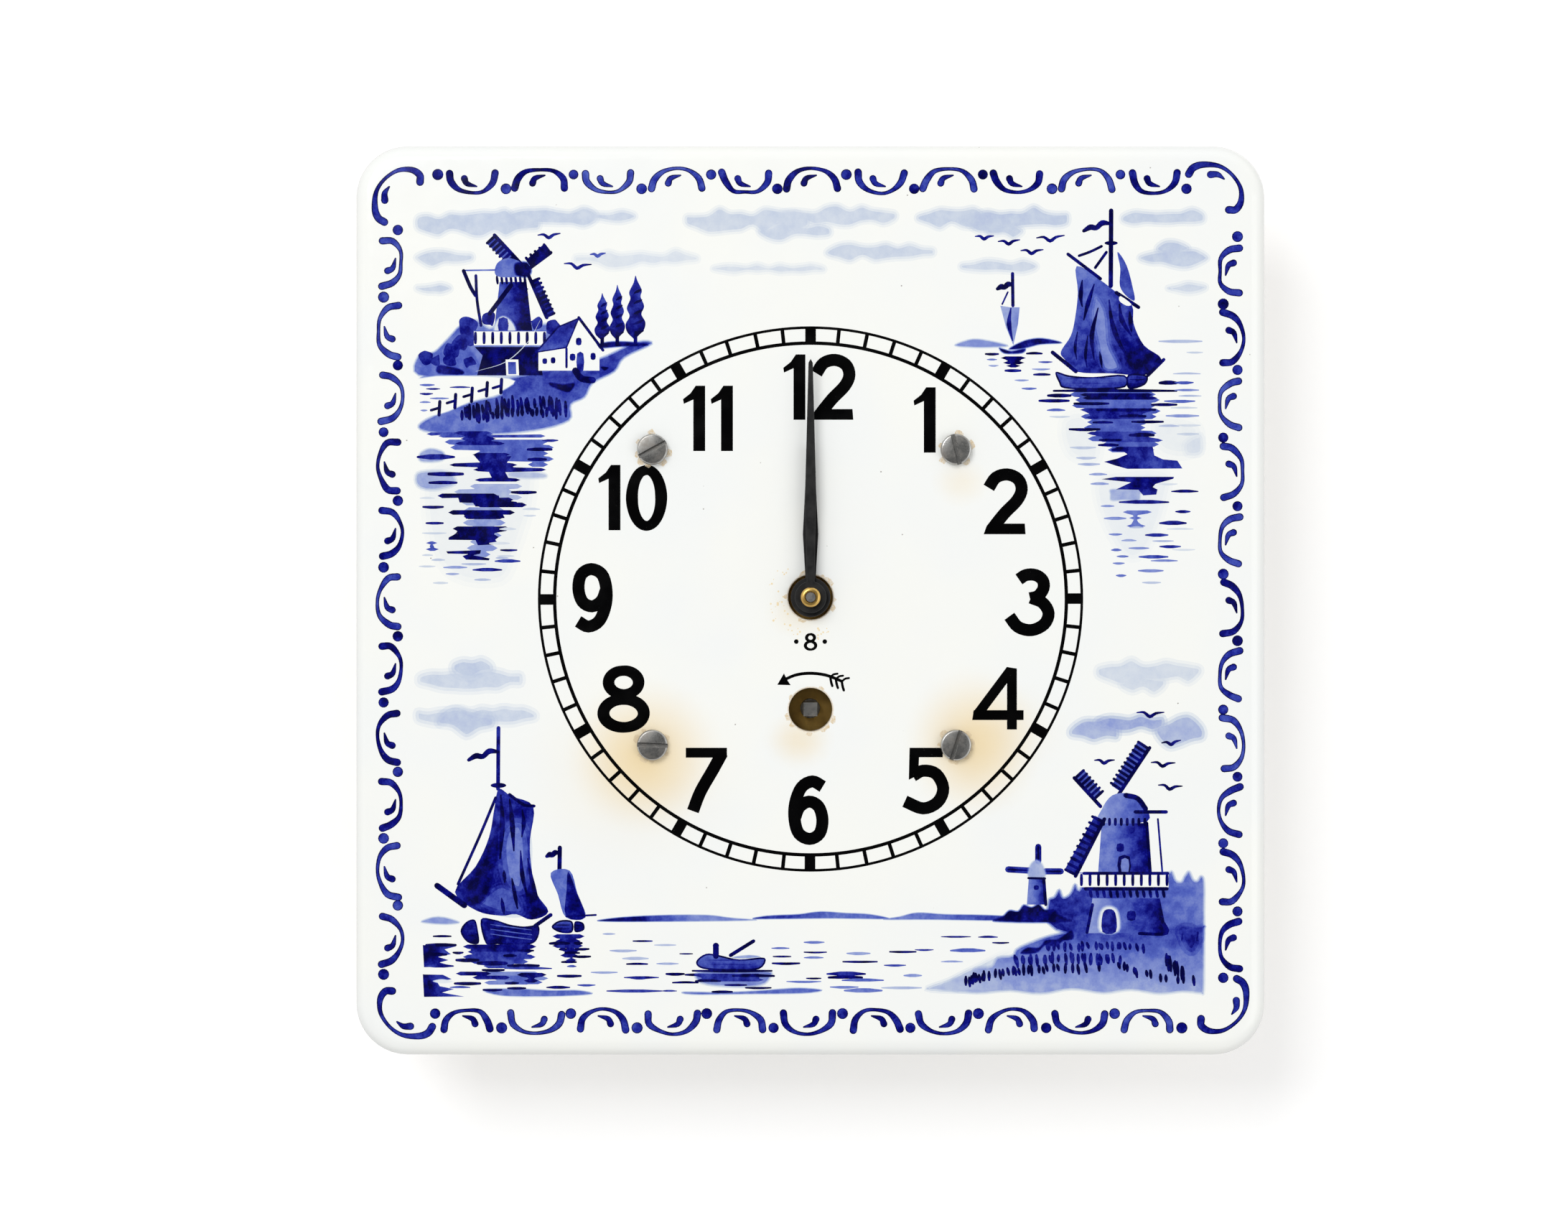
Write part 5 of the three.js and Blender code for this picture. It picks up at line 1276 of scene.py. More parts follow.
# %% A rounded square and a test of what lies inside
CORNER_STEPS = 10
SIDE_STEPS = 14


def rounded_square(inset, corner=PLATE_CORNER):
    """A ring `inset` from the plate's edge: a quarter arc and a straight run, turned four times."""
    radius = max(corner - inset, 0.6)
    reach = PLATE_HALF - inset - radius
    angle = np.linspace(0, math.pi / 2, CORNER_STEPS + 1)
    bend = np.column_stack([reach + radius * np.cos(angle), reach + radius * np.sin(angle)])
    run = np.linspace(reach, -reach, SIDE_STEPS + 1)[1:-1]
    quarter = np.vstack([bend, np.column_stack([run, np.full(len(run), reach + radius)])])
    rings = [quarter]
    for _ in range(3):
        rings.append(np.column_stack([-rings[-1][:, 1], rings[-1][:, 0]]))
    return np.vstack(rings) + (0, PLATE_CENTRE_Y)


def winding(points, ring):
    """How often a ring goes round each point.

    It counts the edges that cross the level line to the right of the point, up as 1 and down as -1.
    """
    x, y = points[:, :1], points[:, 1:]
    (ax, ay), (bx, by) = ring.T, np.roll(ring, -1, axis=0).T
    across = (ay > y) != (by > y)
    rise = np.where(by == ay, 1.0, by - ay)
    return np.sum(across * (ax + (y - ay) / rise * (bx - ax) > x) * np.sign(rise), axis=1)


print("the plate's edge is a ring of", len(rounded_square(0)), "points")


# %% One triangulation for the face and its painting
LATTICE_INSET = 5
LATTICE_SWAY = 0.2
SAME_POINT = 1e-4


def fill(outline, hole_rings, painted=(), lattice=0.0):
    """A flat face with holes, cut along every painted outline.

    A constrained Delaunay triangulation keeps all outlines as edges. A triangle belongs to the face, or
    to a painted shape, if its middle lies inside that ring by the winding count.
    """
    rings = [outline, *hole_rings, *painted]
    edges = []
    total = 0
    for ring in rings:
        here = total + np.arange(len(ring))
        edges.append(np.column_stack([here, np.roll(here, -1)]))
        total += len(ring)
    coords = np.vstack(rings)
    if lattice:
        steps = np.arange(LATTICE_INSET - PLATE_HALF, PLATE_HALF - LATTICE_INSET, lattice)
        grid = np.stack(np.meshgrid(steps, steps), -1).reshape(-1, 2) + (0, PLATE_CENTRE_Y)
        sway = hand.uniform(-LATTICE_SWAY, LATTICE_SWAY, grid.shape) * lattice
        coords = np.vstack([coords, grid + sway])
    points, _, triangles, _, _, _ = geometry.delaunay_2d_cdt(
        coords.tolist(), np.vstack(edges).tolist(), [], 0, SAME_POINT, False
    )
    points = np.array([tuple(point) for point in points])
    triangles = np.array(triangles)
    middles = points[triangles].mean(axis=1)
    inside = winding(middles, outline) != 0
    for ring in hole_rings:
        inside &= winding(middles, ring) == 0
    triangles, middles = triangles[inside], middles[inside]
    members = []
    for ring in painted:
        in_box = (middles > ring.min(axis=0)) & (middles < ring.max(axis=0))
        near = np.flatnonzero(in_box.all(axis=1))
        members.append(near[winding(middles[near], ring) != 0])
    used, triangles = np.unique(triangles, return_inverse=True)
    return points[used], triangles.reshape(-1, 3), members


square = np.array(oblong(0, 1, 0, 1), float)
print("a bare square is cut into", len(fill(square, [])[1]), "triangles")


# %% From flat rings to a closed object
def shown(name, data):
    """A mesh, a lamp or a camera as an object in the scene."""
    made = bpy.data.objects.new(name, data)
    bpy.context.collection.objects.link(made)
    return made


def at_depth(flat, depth):
    """Flat points given a depth in front of the wall."""
    return np.column_stack([flat, np.broadcast_to(depth, len(flat))])


def bands(rings):
    """Quads between each closed ring and the next: corners i and i + 1 of one, then of the other."""
    count = len(rings[0])
    i = np.arange(count)
    j = (i + 1) % count
    quads = np.column_stack([i, j, j + count, i + count])
    return np.vstack(rings), np.vstack([quads + count * k for k in range(len(rings) - 1)])


def piece(name, parts, finish, body, smooth=40, weld=2e-6, colours=None):
    """One closed object from several surfaces; dial (x, y, depth) becomes (x, -depth, y) in metres."""
    shift = 0
    points, faces = [], []
    for part_points, part_faces in parts:
        points.append(part_points)
        faces.extend((np.asarray(part_faces) + shift).tolist())
        shift += len(part_points)
    dial = np.vstack(points) * MM
    mesh = bpy.data.meshes.new(name)
    mesh.from_pydata(np.column_stack([dial[:, 0], -dial[:, 2], dial[:, 1]]).tolist(), [], faces)
    if colours is not None:
        layer = mesh.color_attributes.new("paint", "FLOAT_COLOR", "CORNER")
        layer.data.foreach_set("color", colours.astype(np.float32).ravel())
    work = bmesh.new()
    work.from_mesh(mesh)
    bmesh.ops.remove_doubles(work, verts=work.verts, dist=weld)
    bmesh.ops.dissolve_degenerate(work, edges=work.edges, dist=1e-8)
    bmesh.ops.recalc_face_normals(work, faces=work.faces)
    open_edges = sum(not edge.is_manifold for edge in work.edges)
    work.to_mesh(mesh)
    work.free()
    mesh.shade_smooth()
    mesh.set_sharp_from_angle(angle=math.radians(smooth))
    made = shown(name, mesh)
    mesh.materials.append(finish)
    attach(made, body)
    print(name, len(mesh.polygons), "faces,", open_edges, "open edges")
    return made


print("rings of 4 points give", len(bands([at_depth(square, 0), at_depth(square, 1)])[1]), "quads")

# %% The surfaces of the plate, with the ink at each corner
LIP = 0.35
LATTICE = 2.3
RIM_BREAK = 0.5
POCKET_ROUND = 6.5
POCKET_CORNER = RIM_WIDTH + POCKET_ROUND
BORE_CLAY = 0.75


def rims(points, triangles):
    """For each hole, the face's corners round it, in their order. A stroke that crosses a rim adds some.

    An edge of the face is an edge that only one triangle has.
    """
    edges = np.sort(triangles[:, [0, 1, 1, 2, 2, 0]].reshape(-1, 2), axis=1)
    edges, uses = np.unique(edges, axis=0, return_counts=True)
    corners = points[np.unique(edges[uses == 1])]
    for x, y, radius, _ in HOLES:
        away = corners - (x, y)
        near = away[np.linalg.norm(away, axis=1) < radius + 2 * LIP]
        yield near[np.argsort(np.arctan2(near[:, 1], near[:, 0]))]


def plate_parts():
    """The front, the outside, the back and the hole walls, with the ink at each corner.

    For each shape in turn, ink becomes ink + (tone - ink) times cover, at the corners of its triangles.
    The edge is a quarter circle: inset R (1 - cos a), depth front - R + R sin a, with a from 90 to 0.
    """
    lips = [circle(x, y, radius + LIP, count) for x, y, radius, count in HOLES]
    outlines = [shape[0] for shape in shapes]
    points, triangles, members = fill(rounded_square(EDGE_ROUND), lips, outlines, LATTICE)
    ink = np.zeros((len(triangles), 3, 4))
    for (_, tone, channel, cover), rows in zip(shapes, members):
        corners = points[triangles[rows]]
        here = tone(corners) if callable(tone) else tone
        share = cover(corners) if callable(cover) else cover
        ink[rows, :, channel] += (here - ink[rows, :, channel]) * share
    parts = [(at_depth(points, PLATE_FRONT), triangles)]
    inks = [ink.reshape(-1, 4)]

    bend = np.linspace(math.pi / 2, 0, 11)
    flat_front = PLATE_FRONT - EDGE_ROUND
    profile = [(EDGE_ROUND * (1 - math.cos(a)), flat_front + EDGE_ROUND * math.sin(a)) for a in bend]
    profile += [(0, PLATE_RIM_BACK + FOOT_INSET), (FOOT_INSET * 0.3, PLATE_RIM_BACK + FOOT_INSET * 0.3)]
    profile += [(FOOT_INSET, PLATE_RIM_BACK), (RIM_WIDTH - RIM_BREAK, PLATE_RIM_BACK)]
    rings = [at_depth(rounded_square(inset), depth) for inset, depth in profile]
    pocket = rounded_square(RIM_WIDTH, POCKET_CORNER)
    rings += [at_depth(pocket, PLATE_RIM_BACK + RIM_BREAK), at_depth(pocket, PLATE_BACK)]
    parts.append(bands(rings))

    turn = np.linspace(0, math.pi / 2, 4)
    bores = []
    for (x, y, radius, _), rim in zip(HOLES, rims(points, triangles)):
        wall = [(radius + LIP * (1 - math.sin(a)), PLATE_FRONT - LIP * (1 - math.cos(a))) for a in turn]
        wall.append((radius, PLATE_BACK))
        rings = [rim * (r / (radius + LIP)) + (x, y) for r, _ in wall]
        parts.append(bands([at_depth(ring, depth) for ring, (_, depth) in zip(rings, wall)]))
        bores.append(rings[-1])
    back_points, back_triangles, _ = fill(pocket, bores)
    parts.append((at_depth(back_points, PLATE_BACK), back_triangles))
    for _, faces in parts[1:]:
        inks.append(np.zeros((faces.size, 4)))
    for wall_inks in inks[2:-1]:
        wall_inks[:, CLAY] = BORE_CLAY
    return parts, np.vstack(inks)


plate_surfaces, plate_inks = plate_parts()
print("the plate has", len(plate_surfaces), "surfaces, its front", len(plate_surfaces[0][1]), "triangles")

# %% [markdown]
# ## Finishes
# A finish is a small network of shader nodes, which could be put together by hand in the Shading
# workspace. In a script a few helpers are enough: one adds a node and connects its inputs, the others
# name what a finish needs most. Colours are written as they look on a screen and turned into linear
# light, which is what the shader counts. Patterns are measured in millimetres on the object, so a speck
# keeps its size on every piece.


# %% Colours, nodes and millimetres
def light(*screen):
    """Screen values as light, with alpha 1: v / 12.92 up to 0.04045, else ((v + 0.055) / 1.055)^2.4."""
    values = [v / 12.92 if v <= 0.04045 else ((v + 0.055) / 1.055) ** 2.4 for v in screen]
    return (*values, 1.0)


def add(tree, kind, inputs=None, **settings):
    """A node with its settings, and each input given as a number or as another node's output."""
    node = tree.nodes.new("ShaderNode" + kind)
    for key, value in settings.items():
        setattr(node, key, value)
    for key, value in (inputs or {}).items():
        if isinstance(value, bpy.types.NodeSocket):
            tree.links.new(value, node.inputs[key])
        else:
            node.inputs[key].default_value = value
    return node


def millimetres(tree):
    """The place on the object, in millimetres."""
    coordinates = add(tree, "TexCoord").outputs["Object"]
    return add(tree, "VectorMath", {0: coordinates, "Scale": 1000.0}, operation="SCALE").outputs[0]


def noise(tree, place, scale, detail, roughness=0.5):
    """Smooth noise from 0 to 1; `scale` counts its lumps in a millimetre."""
    settings = {"Vector": place, "Scale": scale, "Detail": detail, "Roughness": roughness}
    return add(tree, "TexNoise", settings).outputs["Fac"]


print("a screen value of 0.5 is", round(light(0.5)[0], 3), "of full light")


# %% Sums, ranges, mixtures and ramps
def math_of(tree, operation, a, b, clamp=False):
    """A Math node on two values."""
    return add(tree, "Math", {0: a, 1: b}, operation=operation, use_clamp=clamp).outputs[0]


def product(tree, a, b, clamp=False):
    """One value times another."""
    return math_of(tree, "MULTIPLY", a, b, clamp)


def stepped(tree, value, low, high, to_low=0.0, to_high=1.0):
    """A value carried smoothly from one range to another."""
    inputs = {"Value": value, "From Min": low, "From Max": high, "To Min": to_low, "To Max": to_high}
    return add(tree, "MapRange", inputs, interpolation_type="SMOOTHSTEP").outputs["Result"]


def mixed(tree, share, a, b, blend="MIX"):
    """Colour a with a share of colour b laid over it, or multiplied into it."""
    node = add(tree, "Mix", {0: share, 6: a, 7: b}, data_type="RGBA", blend_type=blend)
    return node.outputs[2]


def colours_along(tree, value, stops):
    """A colour ramp with stops given as (position, screen colour)."""
    node = add(tree, "ValToRGB", {"Fac": value})
    ramp_stops = node.color_ramp.elements
    while len(ramp_stops) < len(stops):
        ramp_stops.new(0.5)
    for stop, (position, colour) in zip(ramp_stops, stops):
        stop.position = position
        stop.color = light(*colour)
    return node.outputs["Color"]


def finish_of(name, build):
    """A material with one Principled shader, whose inputs `build` returns."""
    made = bpy.data.materials.new(name)
    made.use_nodes = True
    tree = made.node_tree
    shader = tree.nodes["Principled BSDF"]
    for key, value in build(tree).items():
        if isinstance(value, bpy.types.NodeSocket):
            tree.links.new(value, shader.inputs[key])
        else:
            shader.inputs[key].default_value = value
    return made


print("the helpers for finishes are ready")

# %% [markdown]
# ### Glazed earthenware
# Cobalt sinks into the tin glaze and pools where the brush stopped, so its colour runs from pale grey-
# blue to nearly black with the amount of ink. Each shape could store its own colour in the mesh. It
# stores only the amount of ink, and one colour ramp turns amounts into colours, so that all blues
# belong to one paint and can be mended in one place. The glaze itself is a warm white with faint waves,
# pin holes and specks, and where it is chipped or wiped off the foot, the matt clay shows.

# %% The colours of glaze, cobalt and clay
GLAZE = (0.945, 0.948, 0.93)
COOLER_GLAZE = (0.935, 0.942, 0.935)
BLACK_PRINT = (0.012, 0.012, 0.016)
OIL_STAIN = (0.975, 0.865, 0.65)
SPECK = (0.36, 0.3, 0.24)
DARK_CLAY = (0.78, 0.69, 0.55)
PALE_CLAY = (0.88, 0.81, 0.68)
INK_STOPS = [
    (0.0, (1.0, 1.0, 1.0)), (0.1, (0.92, 0.937, 0.97)),
    (0.22, (0.79, 0.83, 0.92)), (0.42, (0.55, 0.61, 0.865)),
    (0.6, (0.335, 0.405, 0.78)), (0.76, (0.155, 0.2, 0.65)),
    (0.87, (0.02, 0.03, 0.5)), (1.0, (0.004, 0.004, 0.26)),
]
print("the cobalt ramp has", len(INK_STOPS), "stops")


# %% The glaze, built from the ink in the mesh
def glaze_nodes(tree):
    """Bare glaze times cobalt, then print, stain, specks and clay laid over it, each by its own share."""
    place = millimetres(tree)
    paint = add(tree, "Attribute", attribute_name="paint")
    channels = add(tree, "SeparateColor", {"Color": paint.outputs["Color"]}).outputs
    pools = noise(tree, place, 0.42, 3.0)
    grain = noise(tree, place, 2.4, 2.0, 0.6)
    density = product(tree, channels[COBALT], stepped(tree, pools, 0.25, 0.75, 0.88, 1.1))
    density = product(tree, density, stepped(tree, grain, 0.2, 0.8, 0.95, 1.04), clamp=True)
    waves = noise(tree, place, 0.035, 2.0)
    bare = mixed(tree, stepped(tree, waves, 0.3, 0.7), light(*GLAZE), light(*COOLER_GLAZE))
    colour = mixed(tree, 1.0, bare, colours_along(tree, density, INK_STOPS), "MULTIPLY")
    print_share = product(tree, channels[BLACK], stepped(tree, grain, 0.12, 0.3, 0.95, 1.0))
    colour = mixed(tree, print_share, colour, light(*BLACK_PRINT))

    blots = product(tree, channels[STAIN], stepped(tree, waves, 0.2, 0.6, 0.75, 1.0))
    colour = mixed(tree, blots, colour, light(*OIL_STAIN), "MULTIPLY")
    cells = add(tree, "TexVoronoi", {"Vector": place, "Scale": 0.16})
    lot = add(tree, "SeparateColor", {"Color": cells.outputs["Color"]}).outputs[0]
    chosen = math_of(tree, "GREATER_THAN", lot, 0.62)
    specks = product(tree, stepped(tree, cells.outputs["Distance"], 0.018, 0.04, 1.0, 0.0), chosen)
    colour = mixed(tree, product(tree, specks, 0.7), colour, light(*SPECK))

    depth = add(tree, "SeparateXYZ", {"Vector": place}).outputs[1]
    foot = stepped(tree, depth, -PLATE_RIM_BACK - 0.5, -PLATE_RIM_BACK - 0.2)
    foot = product(tree, foot, stepped(tree, grain, 0.3, 0.45, 0.85, 1.0))
    chipped = product(tree, paint.outputs["Alpha"], stepped(tree, grain, 0.4, 0.6, 0.5, 1.0))
    clay_share = math_of(tree, "MAXIMUM", foot, chipped)
    clay = mixed(tree, grain, light(*DARK_CLAY), light(*PALE_CLAY))
    colour = mixed(tree, clay_share, colour, clay)

    orange_peel = noise(tree, place, 0.16, 2.0)
    glossy = stepped(tree, orange_peel, 0.3, 0.7, 0.1, 0.2)
    rough = math_of(tree, "MAXIMUM", glossy, product(tree, clay_share, 0.85))
    height = math_of(tree, "ADD", orange_peel, product(tree, density, 0.05))
    pits = product(tree, math_of(tree, "ADD", clay_share, specks), 0.4)
    height = math_of(tree, "SUBTRACT", height, pits)
    bump = add(tree, "Bump", {"Height": height, "Strength": 0.35, "Distance": 0.0002})
    return {"Base Color": colour, "Roughness": rough, "Normal": bump.outputs[0], "IOR": 1.45}


glaze = finish_of("glazed_earthenware", glaze_nodes)
print("the glaze has", len(glaze.node_tree.nodes), "nodes")

# %% [markdown]
# ### Metals, enamel and fibre
# The works are tinned, blued and bright steel and brass, the hands are enamelled, and a fibre washer
# lies under the case. Every metal has the same kind of age: cloudy tarnish, small spots and fine marks
# from handling. The nodes for it could be copied into each material. As one node group with named
# sockets they are built once, and each metal gives them its own colours and amounts. The group puts out
# only a colour, a roughness and a normal. The shader stays in the material.

# %% The node group that ages a metal
aged = bpy.data.node_groups.new("aged_metal", "ShaderNodeTree")
for name, kind, default in [
    ("Clean", "NodeSocketColor", (1, 1, 1, 1)),
    ("Tarnished", "NodeSocketColor", (0.3, 0.3, 0.3, 1)),
    ("Amount", "NodeSocketFloat", 0.4),
    ("Lumps", "NodeSocketFloat", 0.1),
    ("Polish", "NodeSocketFloat", 0.25),
    ("Grain", "NodeSocketVector", (1, 1, 1)),
]:
    aged.interface.new_socket(name, in_out="INPUT", socket_type=kind).default_value = default
for name, kind in [("Color", "Color"), ("Roughness", "Float"), ("Normal", "Vector")]:
    aged.interface.new_socket(name, in_out="OUTPUT", socket_type="NodeSocket" + kind)
group_in = aged.nodes.new("NodeGroupInput").outputs
group_out = aged.nodes.new("NodeGroupOutput").inputs
group_place = millimetres(aged)
tarnish_clouds = noise(aged, group_place, group_in["Lumps"], 4.0, 0.6)
spots = stepped(aged, noise(aged, group_place, 0.9, 3.0, 0.7), 0.66, 0.74)
tarnish = math_of(aged, "MAXIMUM", stepped(aged, tarnish_clouds, 0.35, 0.72), spots)
tarnish = product(aged, tarnish, group_in["Amount"], clamp=True)
drawn_out = add(aged, "VectorMath", {0: group_place, 1: group_in["Grain"]}, operation="MULTIPLY")
tool_marks = noise(aged, drawn_out.outputs[0], 1.0, 2.0)
worn = math_of(aged, "ADD", group_in["Polish"], product(aged, tarnish, 0.3))
rough_metal = math_of(aged, "ADD", worn, product(aged, tool_marks, 0.14))
mark_height = math_of(aged, "ADD", product(aged, tool_marks, 0.5), product(aged, spots, -0.4))
marks = add(aged, "Bump", {"Height": mark_height, "Strength": 0.2, "Distance": 0.00006})
aged.links.new(mixed(aged, tarnish, group_in["Clean"], group_in["Tarnished"]), group_out["Color"])
aged.links.new(rough_metal, group_out["Roughness"])
aged.links.new(marks.outputs[0], group_out["Normal"])
print("the group for aged metal has", len(aged.nodes), "nodes")


# %% The metals
def metal(name, clean, tarnished, amount, lumps, polish, grain, metallic=1.0):
    """A finish from the group: its two colours, how much tarnish, how coarse, how dull, which grain."""

    def build(tree):
        node = tree.nodes.new("ShaderNodeGroup")
        node.node_tree = aged
        values = (light(*clean), light(*tarnished), amount, lumps, polish, grain)
        for key, value in zip(("Clean", "Tarnished", "Amount", "Lumps", "Polish", "Grain"), values):
            node.inputs[key].default_value = value
        outputs = {key: node.outputs[key] for key in ("Roughness", "Normal")}
        return {"Base Color": node.outputs["Color"], "Metallic": metallic, **outputs}

    return finish_of(name, build)


tinned = metal("tinned_steel", (0.76, 0.76, 0.74), (0.52, 0.47, 0.4), 0.5, 0.06, 0.3, (0.1, 3.0, 0.1))
steel = metal("bright_steel", (0.72, 0.72, 0.71), (0.42, 0.36, 0.3), 0.5, 0.35, 0.22, (3.0, 0.6, 3.0))
brass = metal("brass", (0.86, 0.71, 0.4), (0.56, 0.42, 0.22), 0.55, 0.12, 0.24, (4.0, 0.5, 4.0))
blued = metal("blued_steel", (0.2, 0.27, 0.45), (0.18, 0.16, 0.2), 0.5, 0.3, 0.2, (2.0, 2.0, 2.0))
ENAMEL_BLACK = (0.035, 0.035, 0.04)
enamel = metal("black_enamel", ENAMEL_BLACK, (0.09, 0.085, 0.08), 0.45, 0.3, 0.3, (1.5, 1.5, 1.5), 0.0)
print("metals:", [made.name for made in (tinned, steel, brass, blued, enamel)])

# %% Pressed fibre, and a finish for every CAD node
FIBRE_STOPS = [(0.3, (0.33, 0.22, 0.15)), (0.55, (0.46, 0.33, 0.23)), (0.75, (0.58, 0.44, 0.31))]


def fibre_nodes(tree):
    """Coarse flecks of three browns, with the same flecks as a shallow relief."""
    flecks = noise(tree, millimetres(tree), 1.2, 4.0, 0.7)
    colour = colours_along(tree, flecks, FIBRE_STOPS)
    bump = add(tree, "Bump", {"Height": flecks, "Strength": 0.4, "Distance": 0.0001})
    return {"Base Color": colour, "Roughness": 0.85, "Normal": bump.outputs[0]}


fibre = finish_of("pressed_fibre", fibre_nodes)
FINISHES = {
    "glazed_earthenware": glaze,
    "tinned_steel": tinned,
    "steel": steel,
    "brass": brass,
    "blued_steel": blued,
    "black_enamel": enamel,
    "fibre": fibre,
}
slots = {entry["node"]: entry["material_slot"] for entry in frame["record"]["subparts"]}
for node, plain in frame["nodes"].items():
    for holder in plain.material_slots:
        holder.link = "OBJECT"
        holder.material = FINISHES[slots[node]]
print(len(frame["nodes"]), "CAD nodes have one of", len(FINISHES), "finishes")

# %% [markdown]
# ## The plate becomes an object
# The surfaces made above are still loose: the front, the edge, the back and the walls of the holes.
# They could stay apart, but a solid that is printed or weighed needs one closed skin. `piece` joins
# them, welds the points that meet, turns all faces outwards and counts the edges that are still open,
# which must be none. It replaces the plain plate of the CAD model, which goes on serving as the solid
# that other pieces bump into. It takes the place of the plain plate of the CAD model, which is
# hidden.

# %% The painted plate
WELD = 1e-6
dial_plate = piece(
    "painted_plate", plate_surfaces, glaze, "body", 40, WELD, plate_inks
)
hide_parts("dial_plate")

# %% [markdown]
# ## Case
# The works sit in a round tin cup, pressed from one sheet, with a flange that lies against the plate.
# The Screw modifier would turn a profile into such a cup. Here the profile becomes rings directly,
# because each ring is one circle in numpy, and the same few lines serve the screws and the nut. The
# profile runs outside from the back to the flange and inside back again, so that the sheet has its true
# thickness.

# %% The pressed case
CASE_X = middle("movement_case")[0]
(_, _, CASE_BACK), (case_right, _, FLANGE_FRONT) = extent("movement_case")
CASE_SHEET = 0.6
CASE_ROUND = 2
BEAD = [(40, 0), (40.8, 0.5), (42.2, 0.5), (43, 0)]
FLANGE_WIDTH = 10.5
FLANGE_RADIUS = case_right - CASE_X
CASE_RADIUS = FLANGE_RADIUS - FLANGE_WIDTH
FLANGE_BEND = 0.8
FLANGE_EDGE = CASE_SHEET / 2


def turned(profile, x, y, count, closed=True):
    """A profile of (radius, depth) turned about the depth axis: x + r cos(a), y + r sin(a), depth.

    A profile that ends on the axis is closed by its poles, and any other by its first ring again.
    """
    rings = [at_depth(circle(x, y, max(radius, 1e-4), count), depth) for radius, depth in profile]
    return bands(rings + rings[:1] if closed else rings)


def rounding(radius, depth, size, start, end):
    """Five points of an arc: radius + size cos(a), depth + size sin(a), with a in degrees."""
    return arc(radius, depth, size, size, start, end, 5)


round_at = (CASE_RADIUS - CASE_ROUND, CASE_BACK + CASE_ROUND)
bend_depth = FLANGE_FRONT - CASE_SHEET - FLANGE_BEND
case_profile = [(0, CASE_BACK), *((radius, CASE_BACK + pressed) for radius, pressed in BEAD)]
case_profile += rounding(*round_at, CASE_ROUND, -90, 0)
case_profile += [(CASE_RADIUS, bend_depth)]
case_profile += rounding(CASE_RADIUS + FLANGE_BEND, bend_depth, FLANGE_BEND, 180, 90)
case_profile += rounding(FLANGE_RADIUS - FLANGE_EDGE, FLANGE_FRONT - FLANGE_EDGE, FLANGE_EDGE, -90, 90)
case_profile += [(CASE_RADIUS - CASE_SHEET, FLANGE_FRONT)]
case_profile += rounding(*round_at, CASE_ROUND - CASE_SHEET, 0, -90)
case_profile += [(0, CASE_BACK + CASE_SHEET)]
case_shell = turned(case_profile, CASE_X, 0, 128, closed=False)
case = piece("pressed_case", [case_shell], tinned, "body", 50)
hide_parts("movement_case")

# %% [markdown]
# ## Hanger
# Behind the case a strip of tinned steel carries the clock on one nail, which goes in through the round
# part of a keyhole and up into its narrow part. The strip could be an extruded curve with a bevel. As
# flat faces between two depths, drawn in a little where they meet the walls, it gets the broken edge of
# sheet that was filed by hand, and the same function makes the clock's hands.


# %% Flat metal with filed edges
def flat_metal(outline, hole_rings, low, high, chamfer):
    """A plate between two depths: two faces drawn in by the chamfer, and walls round it and its holes.

    Each wall has four rings: drawn in at `low`, full at `low` plus the chamfer, full at `high` less the
    chamfer, and drawn in at `high`.
    """
    faces = [grown(outline, -chamfer), *(grown(ring, chamfer) for ring in hole_rings)]
    parts = []
    for depth in (low, high):
        points, triangles, _ = fill(faces[0], faces[1:])
        parts.append((at_depth(points, depth), triangles))
    for wide, narrow in zip([outline, *hole_rings], faces):
        walls = [(narrow, low), (wide, low + chamfer), (wide, high - chamfer), (narrow, high)]
        parts.append(bands([at_depth(ring, depth) for ring, depth in walls]))
    return parts


print("a square of flat metal has", len(flat_metal(square, [], 0, 1, 0.1)), "surfaces")

# %% The hanger strip
(_, HANGER_FOOT, _), (HANGER_HALF, HANGER_TOP, HANGER_THICKNESS) = extent("hanger_plate")
HANGER_CUT = 5
HANGER_CHAMFER = 0.18
KEYHOLE_Y = 56
NAIL_HOLE = 4.6
NAIL_SLOT = 2.3
NAIL_RISE = 4.6
RIVET_HOLE = 2.32
shoulder = HANGER_TOP - HANGER_CUT
crown = HANGER_HALF - HANGER_CUT
hanger_outline = np.array([
    (-HANGER_HALF, HANGER_FOOT), (HANGER_HALF, HANGER_FOOT), (HANGER_HALF, shoulder),
    (crown, HANGER_TOP), (-crown, HANGER_TOP), (-HANGER_HALF, shoulder),
])
open_by = math.degrees(math.asin(NAIL_SLOT / NAIL_HOLE))
keyhole = arc(0, KEYHOLE_Y, NAIL_HOLE, NAIL_HOLE, 90 + open_by, 450 - open_by, 30)
keyhole += arc(0, KEYHOLE_Y + NAIL_HOLE + NAIL_RISE - NAIL_SLOT, NAIL_SLOT, NAIL_SLOT, 0, 180, 12)
rivets = [middle(f"hanger_rivet_{i}") for i in (1, 2)]
hanger_holes = [np.array(keyhole), *(circle(x, y, RIVET_HOLE, 24) for x, y in rivets)]
strip = flat_metal(hanger_outline, hanger_holes, 0, HANGER_THICKNESS, HANGER_CHAMFER)
hanger = piece("hanger_strip", strip, tinned, "body", 30)
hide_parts("hanger_plate")

# %% [markdown]
# ## Screws
# Four slotted screws go through the plate and hold the case. Each is a turned body with a domed head.
# Its slot could be shaped face by face. A Boolean cuts it instead, as a saw does after the turning, and
# leaves crisp edges. The modifier is applied at once and the cutter removed, so that nothing is left
# that could still change the mesh. Each slot points another way, as fitted by hand.

